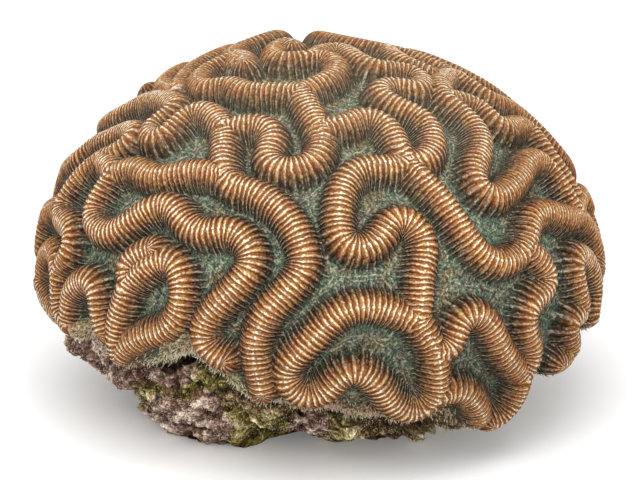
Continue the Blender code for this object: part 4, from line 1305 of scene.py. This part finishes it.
def grow_blades(name: str, root: Array, lean: Array, length: Array, width: Array, roll: Array,
                ) -> bpy.types.Mesh:
    """Make one mesh of many slender three-sided blades.

    Args:
        name: the mesh's name.
        root: where each blade stands, one row each.
        lean: the unit direction that each blade points in.
        length: each blade's length in metres.
        width: each blade's half width in metres.
        roll: any direction across each blade, which turns it about its length.

    Returns:
        The mesh, with the value "lift" low at the roots and high at the tips.
    """
    row_step = 4.0
    root_lift, tip_lift = 0.2, 1.1
    form = bmesh.new()
    bmesh.ops.create_cone(form, cap_ends=True, segments=3, radius1=1.0, radius2=0.0, depth=1.0)
    count = 1
    while count < len(root):
        copy = bmesh.ops.duplicate(form, geom=form.verts[:] + form.edges[:] + form.faces[:])
        fresh = [part for part in copy["geom"] if isinstance(part, bmesh.types.BMVert)]
        bmesh.ops.translate(form, verts=fresh, vec=(row_step * count, 0.0, 0.0))
        count *= 2
    surplus = [vert for vert in form.verts if vert.co.x > row_step * (len(root) - 0.5)]
    bmesh.ops.delete(form, geom=surplus, context="VERTS")
    mesh = keep(form, name)
    local = vectors(mesh)
    blade = np.rint(local[:, 0] / row_step).astype(int)
    local[:, 0] -= row_step * blade
    up = local[:, 2] + 0.5
    side = unit(np.cross(lean, roll))
    spread = side[blade] * local[:, :1] + np.cross(lean, side)[blade] * local[:, 1:2]
    move(mesh, root[blade] + spread * width[blade, None] + lean[blade] * (up * length[blade])[:, None])
    write_value(mesh, "lift", root_lift + (tip_lift - root_lift) * up)
    mesh.update()
    mesh.shade_smooth()
    return mesh


def write_ribs(mesh: bpy.types.Mesh, crest: Array, reading: RibReading) -> None:
    """Keep the ribs' count and the distance from the crest as the mesh's UV map.

    A face takes the ridge of its corner nearest a crest. A corner that another ridge owns is given
    the count that the face's own ridge would have there, so no rib is smeared across a valley's middle.
    """
    corners = np.empty(len(mesh.loops), np.int64)
    mesh.loops.foreach_get("vertex_index", corners)
    quads = corners.reshape(-1, 4)
    anchor = quads[np.arange(len(quads)), reading.distance[quads].argmin(axis=1)]
    step = crest[quads] - crest[anchor][:, None]
    lead = reading.rib[anchor][:, None] + np.einsum("fk,fck->fc", reading.slope[anchor], step)
    own = reading.rib[quads]
    count = np.where(np.abs(own - lead) < 0.5, own, lead)
    ribs = mesh.uv_layers.new(name="ribs")
    pairs = np.stack([count, reading.distance[quads] / RIDGE_HALF_WIDTH], axis=-1)
    ribs.data.foreach_set("uv", np.ascontiguousarray(pairs.reshape(-1), np.float32))


@dataclass
class BrainCoral:
    """The colony: its ridged skin in six patches, and the underside of its lip.

    Attributes:
        surface: where the skin lies.
        skin: its finish.
        columns: columns of faces in each patch.
        rows: rows of faces in each side patch.
        halo: rows and columns read beyond a patch's edge, so that its slopes meet the next patch's.
    """

    surface: ColonySurface
    skin: bpy.types.Material
    columns: int = 330
    rows: int = 205
    halo: int = 2

    # The pale growing margin by azimuth: its strength, and how far up from the edge it reaches
    MARGIN = ((-180.0, 0.60, 0.006), (-100.0, 0.50, 0.005), (-66.0, 0.70, 0.006), (-56.0, 1.00, 0.011),
              (-50.0, 1.00, 0.010), (-44.0, 0.45, 0.005), (-36.0, 0.50, 0.005), (-31.0, 1.00, 0.012),
              (-22.0, 1.10, 0.014), (-15.0, 0.80, 0.008), (-6.0, 0.55, 0.005), (2.0, 0.90, 0.008),
              (12.0, 1.00, 0.008), (20.0, 0.55, 0.005), (45.0, 0.35, 0.004), (90.0, 0.45, 0.005),
              (135.0, 0.60, 0.006))
    # How much of the margin a crest has, and how it fades across the ridge and up from the edge
    CREST_MARGIN = 0.30
    MOUTH = (0.45, 0.95)
    MARGIN_FADE = (0.25, 1.0)
    # Rings of the underside, as shares of the way from the lip's edge to the roof over the rock
    RINGS = (0.0, 0.03, 0.06, 0.09, 0.12, 0.18, 0.26, 0.35, 0.60)
    # Its ribs and lumps, where on the way in they and its crust start, and its looks there
    RIPPLE = 0.00025
    RIPPLE_START = (0.0, 0.03)
    LUMP = 0.0005
    LUMP_SIZE = 0.0022
    LUMP_START = (0.0, 0.04)
    UNDER_START = (0.0, 0.06)
    UNDER_REACH = 0.80
    UNDER_MARGIN = 0.4

    def build(self) -> None:
        """Build every patch, the crown as two halves, and the underside."""
        half = self.columns // 2
        for patch in Patch:
            if patch is Patch.CROWN:
                self.build_patch(patch, "coral_crown_near", 0, half)
                self.build_patch(patch, "coral_crown_far", half, self.columns)
            else:
                self.build_patch(patch, f"coral_{patch.name.lower()}", 0, self.rows)
        self.build_underside()

    def pitch(self, patch: Patch, row: Array) -> Array:
        """Return the angle up a patch's face at a row, in radians."""
        low = math.radians(self.surface.border_pitch)
        if patch is Patch.CROWN:
            return 0.5 * math.pi * (row / self.columns - 0.5)
        return low + (0.25 * math.pi - low) * row / self.rows

    def build_patch(self, patch: Patch, name: str, first: int, last: int) -> None:
        """Build one patch from one row of its face to another; a halo of rows gives the edges' slopes."""
        upward = self.pitch(patch, np.arange(first - self.halo, last + self.halo + 1))
        columns = np.arange(-self.halo, self.columns + self.halo + 1)
        upward, across = np.meshgrid(upward, 0.5 * math.pi * (columns / self.columns - 0.5), indexing="ij")
        directions = patch.directions(across, upward).reshape(-1, 3)
        points, reading, above = self.surface.place(directions)
        grid = points.reshape(*across.shape, 3)
        normal = np.zeros_like(grid)
        normal[1:-1, 1:-1] = np.cross(grid[1:-1, 2:] - grid[1:-1, :-2], grid[2:, 1:-1] - grid[:-2, 1:-1])
        normal = unit(normal + 1e-12).reshape(-1, 3)
        form = bmesh.new()
        bmesh.ops.create_grid(form, x_segments=self.columns, y_segments=last - first, size=1.0)
        mesh = keep(form, name)
        flat = (vectors(mesh)[:, :2] + 1.0) * 0.5 * (self.columns, last - first)
        column, row = np.rint(flat).astype(int).T + self.halo
        pick = row * across.shape[1] + column
        reading = reading.pick(pick)
        move(mesh, points[pick] + CENTRE)
        write_ribs(mesh, points[pick], reading)
        write_value(mesh, "midline", reading.midline)
        write_value(mesh, "margin", self.margin(directions[pick], above[pick], reading.distance))
        mesh.update()
        mesh.shade_smooth()
        mesh.normals_split_custom_set_from_vertices(normal[pick].tolist())
        show(mesh, "coral", self.skin)

    def margin(self, directions: Array, above: Array, distance: Array) -> Array:
        """Return how far each place belongs to the growing margin, most in the valleys' mouths."""
        strength, width = (around(self.MARGIN, azimuth_of(directions), column) for column in (1, 2))
        mouth = eased(distance / RIDGE_HALF_WIDTH, *self.MOUTH)
        mouth = self.CREST_MARGIN + (1.0 - self.CREST_MARGIN) * mouth
        return strength * mouth * (1.0 - eased(above / width, *self.MARGIN_FADE))

    def build_underside(self) -> None:
        """Build the underside from the lip's edge in to the roof over the rock."""
        steps = 4 * self.columns
        mesh = spin_profile("coral_underside", self.RINGS, steps)
        flat = vectors(mesh)
        share = flat[:, 2]
        azimuth = np.round(azimuth_of(flat) / 360.0 * steps) * 360.0 / steps
        level = toward(azimuth, self.surface.border(azimuth))
        rim, reading, _ = self.surface.place(level)
        rim_radius = np.hypot(rim[:, 0], rim[:, 1])
        rim_height = self.surface.rim_height(azimuth)
        socket = SOCKET_RADIUS + SOCKET_TAPER * np.minimum(rim_height, 0.0) + NECK_GAP
        radii = np.stack([rim_radius, rim_radius - LIP_INSET, socket,
                          np.full_like(socket, SOCKET_RADIUS)], axis=1)
        heights = np.stack([rim[:, 2], rim_height - LIP_SAG, rim_height + MOUTH_RISE,
                            np.full_like(socket, GROWTH_GAP)], axis=1)
        radius, height = along_profile(share, (0.0, *UNDERSIDE_SHARES), radii, heights)
        ripple = self.RIPPLE * np.cos(2.0 * math.pi * reading.rib) * eased(share, *self.RIPPLE_START)
        points = np.column_stack([unit(rim[:, :2]) * radius[:, None], height + ripple])
        points[:, 2] += self.LUMP * grain(points, self.LUMP_SIZE) * eased(share, *self.LUMP_START)
        move(mesh, points + CENTRE)
        under = eased(share, *self.UNDER_START)
        reading.rib -= reading.slope[:, 2] * np.linalg.norm(points - rim, axis=1)
        reading.distance = np.maximum(reading.distance, RIDGE_HALF_WIDTH * self.UNDER_REACH * under)
        write_ribs(mesh, points, reading)
        write_value(mesh, "midline", np.full(len(share), RidgeNet.FAR))
        margin = self.margin(level, np.zeros_like(share), reading.distance)
        write_value(mesh, "margin", margin * (1.0 - (1.0 - self.UNDER_MARGIN) * under))
        write_value(mesh, "under", under)
        mesh.update()
        form = bmesh.new()
        form.from_mesh(mesh)
        bmesh.ops.recalc_face_normals(form, faces=form.faces[:])
        if sum(face.normal.z * face.calc_area() for face in form.faces) > 0.0:
            bmesh.ops.reverse_faces(form, faces=form.faces[:])
        form.to_mesh(mesh)
        form.free()
        mesh.shade_smooth()
        show(mesh, "coral", self.skin)


@dataclass
class MarginFringe:
    """The short ragged blades along the colony's lower edge.

    Attributes:
        surface: where the colony's skin lies.
        skin: the blades' finish.
        count: number of blades drawn, of which the shortest aren't kept.
        length: length of the longest blades.
        width: half width of a blade.
        seed: start of the random draws.
        flare: how far the blades point outwards.
        droop: how far they point down.
        scatter: how far their directions differ.
        sunk: how deep their roots are in the skin.
        shortest: the least share of the full length that is kept.
    """

    surface: ColonySurface
    skin: bpy.types.Material
    count: int = 9000
    length: float = 0.0026
    width: float = 0.00034
    seed: int = 11
    flare: float = 0.75
    droop: float = 0.55
    scatter: float = 0.42
    sunk: float = 0.0003
    shortest: float = 0.2

    # Shares of the length and the width, the length by distance from the crest, and the least under the lip
    LENGTHS = (0.35, 1.15)
    WIDTHS = (0.7, 1.3)
    MOUTH = (0.35, 0.8)
    LIP_LENGTH = 0.45
    # How the blades thin out where the margin is weak, how high they grow on it, and how they crowd low down
    THINNING = 1.5
    HIGHEST = 0.7
    CROWDING = 1.6

    def build(self) -> None:
        """Grow the blades where the margin is strong, from a little above the edge to just under it."""
        chance = np.random.default_rng(self.seed)
        azimuth = chance.uniform(-180.0, 180.0, 4 * self.count)
        strength, reach = (around(BrainCoral.MARGIN, azimuth, column) for column in (1, 2))
        azimuth, reach = (values[chance.random(len(azimuth)) < strength ** self.THINNING][:self.count]
                          for values in (azimuth, reach))
        level = chance.uniform(-1.0, 1.0, len(azimuth))
        above = self.HIGHEST * reach * np.maximum(level, 0.0) ** self.CROWDING
        rim_height = self.surface.rim_height(azimuth)
        rim = np.arcsin(rim_height / DOME_RISE)
        border = self.surface.border(azimuth)
        latitude = border + above / DOME_RISE / (0.5 * math.pi - rim) * (0.5 * math.pi - border)
        flat = toward(azimuth)
        root, reading, _ = self.surface.place(toward(azimuth, latitude))
        tuck = np.maximum(-level, 0.0)
        root -= flat * (LIP_INSET * tuck)[:, None]
        root[:, 2] += (rim_height - LIP_SAG - root[:, 2]) * tuck
        mouth = eased(reading.distance / RIDGE_HALF_WIDTH, *self.MOUTH)
        scale = np.where(level > 0.0, mouth, self.LIP_LENGTH + (1.0 - self.LIP_LENGTH) * mouth)
        lean = self.flare * flat + (0.0, 0.0, -self.droop)
        lean = unit(lean + self.scatter * chance.normal(size=root.shape))
        length = self.length * scale * chance.uniform(*self.LENGTHS, len(scale))
        width = self.width * chance.uniform(*self.WIDTHS, len(scale))
        roll = chance.normal(size=root.shape)
        root = root + CENTRE - lean * self.sunk
        kept = scale > self.shortest
        mesh = grow_blades("coral_fringe", *(values[kept] for values in (root, lean, length, width, roll)))
        show(mesh, "coral", self.skin)


@dataclass
class ReefRock:
    """The lump of reef rock under the colony, with its crusts and its short turf.

    Attributes:
        surface: the colony's surface, whose edge the rock's shelf follows.
        crust: the finish.
        steps: columns of faces around the rock.
        rows: rings of faces from its shelf to its foot.
        knob: height of the small knobs.
        knob_level: how far in they start, so that as many places rise as sink.
        turf_count: number of turf blades.
        turf_length: length of a blade.
        turf_width: half width of a blade.
        turf_droop: how far the blades point down.
        turf_scatter: how far their directions differ.
        turf_sunk: how deep their roots are in the rock.
        seed: start of the random draws.
    """

    surface: ColonySurface
    crust: bpy.types.Material
    steps: int = 520
    rows: int = 96
    knob: float = 0.0031
    knob_level: float = 0.9
    turf_count: int = 9000
    turf_length: float = 0.0009
    turf_width: float = 0.00038
    turf_droop: float = 0.25
    turf_scatter: float = 0.75
    turf_sunk: float = 0.0003
    seed: int = 7

    # Patches of crust seen in the photograph: pixel, radius in pixels
    MAUVE_SPOTS = ((84, 350, 22), (100, 366, 18), (118, 380, 16), (150, 365, 20), (175, 372, 18),
                   (165, 415, 20), (190, 420, 20), (215, 425, 18), (205, 400, 12), (315, 422, 14),
                   (300, 425, 10))
    OLIVE_SPOTS = ((205, 385, 18), (190, 392, 12), (220, 378, 12), (248, 434, 20), (275, 424, 12),
                   (345, 432, 15), (150, 392, 13), (235, 412, 12))
    # Each crust: its seen patches, and the size of its patches elsewhere
    CRUSTS = {"mauve": (MAUVE_SPOTS, 0.013), "olive": (OLIVE_SPOTS, 0.017)}
    # Notch seen in its outline: pixel, radius in pixels, and how far it goes in
    NOTCH = (130.0, 394.0, 17.0, 0.0055)
    NOTCH_FLOOR = 0.25
    # How far in front of the rock's middle plane what the photograph shows starts and is full
    FACING = (0.0, 0.03)
    # Small knobs: where they start and end on the profile and over how much of it, then the strength
    # and size of each layer
    KNOB_BAND = ((0.34, 0.04), (0.745, 0.03))
    KNOBS = ((1.9, 0.0095), (1.3, 0.0046))
    KNOB_GRAIN = (0.40, 0.0021)
    KNOB_SHIFT = (0.6, 0.0041)
    # The seen patches' ragged outlines, in pixels and metres, their soft edges in radii, and those
    # elsewhere
    SPOT_SWAY = 7.0
    SPOT_SWAY_SIZE = 0.0060
    SPOT_EDGE = (0.55, 1.5)
    ELSEWHERE = (0.42, 0.55)
    # Turf grows above this height, where the surface faces sideways, and in patches
    TURF_BOTTOM = 0.004
    TURF_STEEPEST = 0.93
    TURF_PATCH = 0.006
    TURF_THICK = (-0.3, 0.2)
    TURF_LENGTHS = (0.45, 1.25)
    TURF_WIDTHS = (0.6, 1.3)

    def build(self) -> None:
        """Build the rock and its turf."""
        rock = self.build_rock()
        self.build_turf(vectors(rock), vectors(rock, "normal"))

    def profile(self, share: Array, azimuth: Array) -> Array:
        """Return where the rock's surface lies, before its small lumps.

        Args:
            share: share of the way from the top to the bottom.
            azimuth: azimuth in degrees.

        Returns:
            Points about the dome's middle.
        """
        shelf, drop, belly, foot = (around(ROCK_OUTLINE, azimuth, column) for column in (1, 2, 3, 4))
        top = self.surface.rim_height(azimuth) - SHELF_GAP
        neck = SOCKET_RADIUS + SOCKET_TAPER * np.minimum(top, 0.0)
        ground = np.full_like(top, -DOME_CENTRE_HEIGHT)
        none = np.zeros_like(top)
        radii = np.stack([none, none + SOCKET_RADIUS, neck, np.maximum(shelf - SHELF_ROUNDING, neck),
                          shelf, belly, foot, foot - FOOT_BEVEL, none], axis=1)
        level = BELLY_LEVEL * (top - drop) + (1.0 - BELLY_LEVEL) * ground
        heights = np.stack([none, none, top, top - SHELF_FALL, top - drop, level, ground + FOOT_BEVEL, ground,
                            ground], axis=1)
        radius, height = along_profile(share, (0.0, *ROCK_SHARES, 1.0), radii, heights)
        return toward(azimuth) * radius[:, None] + height[:, None] * (0.0, 0.0, 1.0)

    def build_rock(self) -> bpy.types.Mesh:
        """Build the rock as a spun profile whose surface is pushed into lumps and knobs, and return it."""
        band = np.linspace(ROCK_SHARES[1], ROCK_SHARES[-1], self.rows).tolist()
        mesh = spin_profile("rock_body", (0.0, ROCK_SHARES[0], 0.30, *band, 1.0), self.steps)
        flat = vectors(mesh)
        share = flat[:, 2]
        azimuth = azimuth_of(flat)
        points = self.profile(share, azimuth)
        heading = toward(azimuth)
        rough = np.clip((share - ROCK_SHARES[2]) / LUMP_FADE, 0.0, 1.0)
        rough *= np.clip((ROCK_SHARES[5] - share) / LUMP_FADE, 0.0, 1.0)
        lump = grain(points, ROCK_LUMP_SIZE) + 0.5 * grain(points, 0.45 * ROCK_LUMP_SIZE)
        (top, top_run), (bottom, bottom_run) = self.KNOB_BAND
        fine = np.clip((share - top) / top_run, 0.0, 1.0)
        fine *= 0.5 + 0.5 * np.clip((bottom - share) / bottom_run, 0.0, 1.0)
        fine *= share <= ROCK_SHARES[-1]
        knobs = sum(strength * np.abs(grain(points, size)) for strength, size in self.KNOBS) - self.knob_level
        knobs += self.KNOB_GRAIN[0] * grain(points, self.KNOB_GRAIN[1])
        points += heading * (ROCK_LUMP * lump * rough + self.knob * knobs * fine)[:, None]
        points[:, 2] += self.KNOB_SHIFT[0] * self.knob * grain(points, self.KNOB_SHIFT[1]) * fine
        x, y, radius, depth = self.NOTCH
        across, down = photo_pixel(points)
        notch = 1.0 - eased(np.hypot(across - x, down - y), self.NOTCH_FLOOR * radius, radius)
        points -= heading * (depth * notch * eased(-points[:, 1], *self.FACING) * fine)[:, None]
        points[:, 2] = np.maximum(points[:, 2], -DOME_CENTRE_HEIGHT)
        move(mesh, points + CENTRE)
        # The crust reads this as painted shade, darker in the hollows between knobs
        write_value(mesh, "lift", np.clip(0.5 + 0.5 * knobs, 0.0, 1.0))
        mesh.update()
        form = bmesh.new()
        form.from_mesh(mesh)
        bmesh.ops.remove_doubles(form, verts=form.verts[:], dist=1e-6)
        bmesh.ops.recalc_face_normals(form, faces=form.faces[:])
        form.to_mesh(mesh)
        form.free()
        self.write_crusts(mesh)
        mesh.shade_smooth()
        show(mesh, "base_rock", self.crust)
        return mesh

    def write_crusts(self, mesh: bpy.types.Mesh) -> None:
        """Write how far each vertex belongs to each crust: near its seen spots, and by noise elsewhere."""
        points = vectors(mesh)
        facing = eased(-points[:, 1], *self.FACING)
        for name, (spots, size) in self.CRUSTS.items():
            across, down = photo_pixel(points - CENTRE)
            across += self.SPOT_SWAY * grain(points, self.SPOT_SWAY_SIZE)
            down += self.SPOT_SWAY * grain(points + size, self.SPOT_SWAY_SIZE)
            best = np.zeros(len(points))
            for x, y, radius in spots:
                away = np.hypot(across - x, down - y) / radius
                best = np.maximum(best, 1.0 - eased(away, *self.SPOT_EDGE))
            elsewhere = self.ELSEWHERE[0] + self.ELSEWHERE[1] * grain(points + size, size)
            write_value(mesh, name, best * facing + elsewhere * (1.0 - facing))

    def build_turf(self, points: Array, normals: Array) -> None:
        """Grow short blades of turf from the rock's rough surface, as one joined mesh."""
        chance = np.random.default_rng(self.seed)
        open_air = (points[:, 2] > self.TURF_BOTTOM) & (np.abs(normals[:, 2]) < self.TURF_STEEPEST)
        thick = eased(grain(points, self.TURF_PATCH), *self.TURF_THICK)
        picks = np.nonzero(open_air & (chance.random(len(points)) < thick))[0]
        roots = chance.choice(picks, min(self.turf_count, len(picks)), replace=False)
        root, out = points[roots], normals[roots]
        lean = unit(out + self.turf_scatter * chance.normal(size=root.shape) + (0.0, 0.0, -self.turf_droop))
        length = self.turf_length * chance.uniform(*self.TURF_LENGTHS, len(roots))
        width = self.turf_width * chance.uniform(*self.TURF_WIDTHS, len(roots))
        roll = chance.normal(size=root.shape)
        mesh = grow_blades("rock_turf", root - lean * self.turf_sunk, lean, length, width, roll)
        self.write_crusts(mesh)
        show(mesh, "base_rock", self.crust)


@dataclass
class Studio:
    """The camera at the photograph's angle, soft lights and the pale floor.

    Attributes:
        floor_half: half the floor's width.
        sky: brightness of the white surroundings.
        clip_start: where the camera's view begins.
    """

    floor_half: float = 4.0
    sky: float = 0.88
    clip_start: float = 0.05

    # Square soft lights: name, place, width in metres and power in watts
    LIGHTS = (("key", (-0.12, -1.05, 1.52), 1.3, 19.0), ("front fill", (0.25, -1.7, 0.55), 1.2, 9.5))

    def build(self) -> None:
        """Set the whole studio up."""
        self.place_camera()
        self.place_floor()
        for light in self.LIGHTS:
            self.place_light(*light)
        world = bpy.data.worlds.new("soft white")
        world.use_nodes = True
        background = world.node_tree.nodes["Background"]
        background.inputs["Color"].default_value = (1.0, 1.0, 1.0, 1.0)
        background.inputs["Strength"].default_value = self.sky
        bpy.context.scene.world = world
        bpy.context.scene.view_settings.view_transform = "Standard"

    @staticmethod
    def aim_at(thing: bpy.types.Object, place: Vector, aim: Vector) -> None:
        """Put a camera or a light in the scene at a place, turned towards its aim."""
        turn = (aim - place).to_track_quat("-Z", "Y").to_matrix().to_4x4()
        thing.matrix_world = Matrix.Translation(place) @ turn
        bpy.context.scene.collection.objects.link(thing)

    def place_camera(self) -> None:
        """Aim the camera so that the dome's middle falls where the photograph has it."""
        eye = CENTRE - PHOTO_FORWARD * PHOTO_DISTANCE
        aim = CENTRE + PHOTO_UP * ((PHOTO_CENTRE[1] - PHOTO_MIDDLE[1]) * PHOTO_SCALE)
        camera = bpy.data.objects.new("camera", bpy.data.cameras.new("camera"))
        camera.data.lens = SENSOR_WIDTH * PHOTO_DISTANCE / PHOTO_SCALE / PHOTO_WIDTH
        camera.data.sensor_width = SENSOR_WIDTH
        camera.data.clip_start = self.clip_start
        self.aim_at(camera, Vector(eye), Vector(aim))
        bpy.context.scene.camera = camera

    def place_light(self, name: str, place: tuple[float, float, float], size: float, power: float) -> None:
        """Hang one square soft light that faces the colony."""
        light = bpy.data.lights.new(name, "AREA")
        light.shape = "SQUARE"
        light.size = size
        light.energy = power
        self.aim_at(bpy.data.objects.new(name, light), Vector(place), Vector(CENTRE))

    def place_floor(self) -> None:
        """Lay the floor."""
        form = bmesh.new()
        bmesh.ops.create_grid(form, x_segments=1, y_segments=1, size=self.floor_half)
        mesh = keep(form, "floor")
        mesh.materials.append(FloorPaint().make())
        floor = bpy.data.objects.new("floor", mesh)
        bpy.context.scene.collection.objects.link(floor)


def main() -> None:
    """Build the colony, its rock and the studio."""
    logging.basicConfig(level=logging.INFO, format="%(message)s")
    surface = ColonySurface(RidgeNet())
    Studio().build()
    BrainCoral(surface, LivingSkin().make()).build()
    MarginFringe(surface, FringeSkin().make()).build()
    ReefRock(surface, RockCrust().make()).build()


if __name__ == "__main__":
    main()
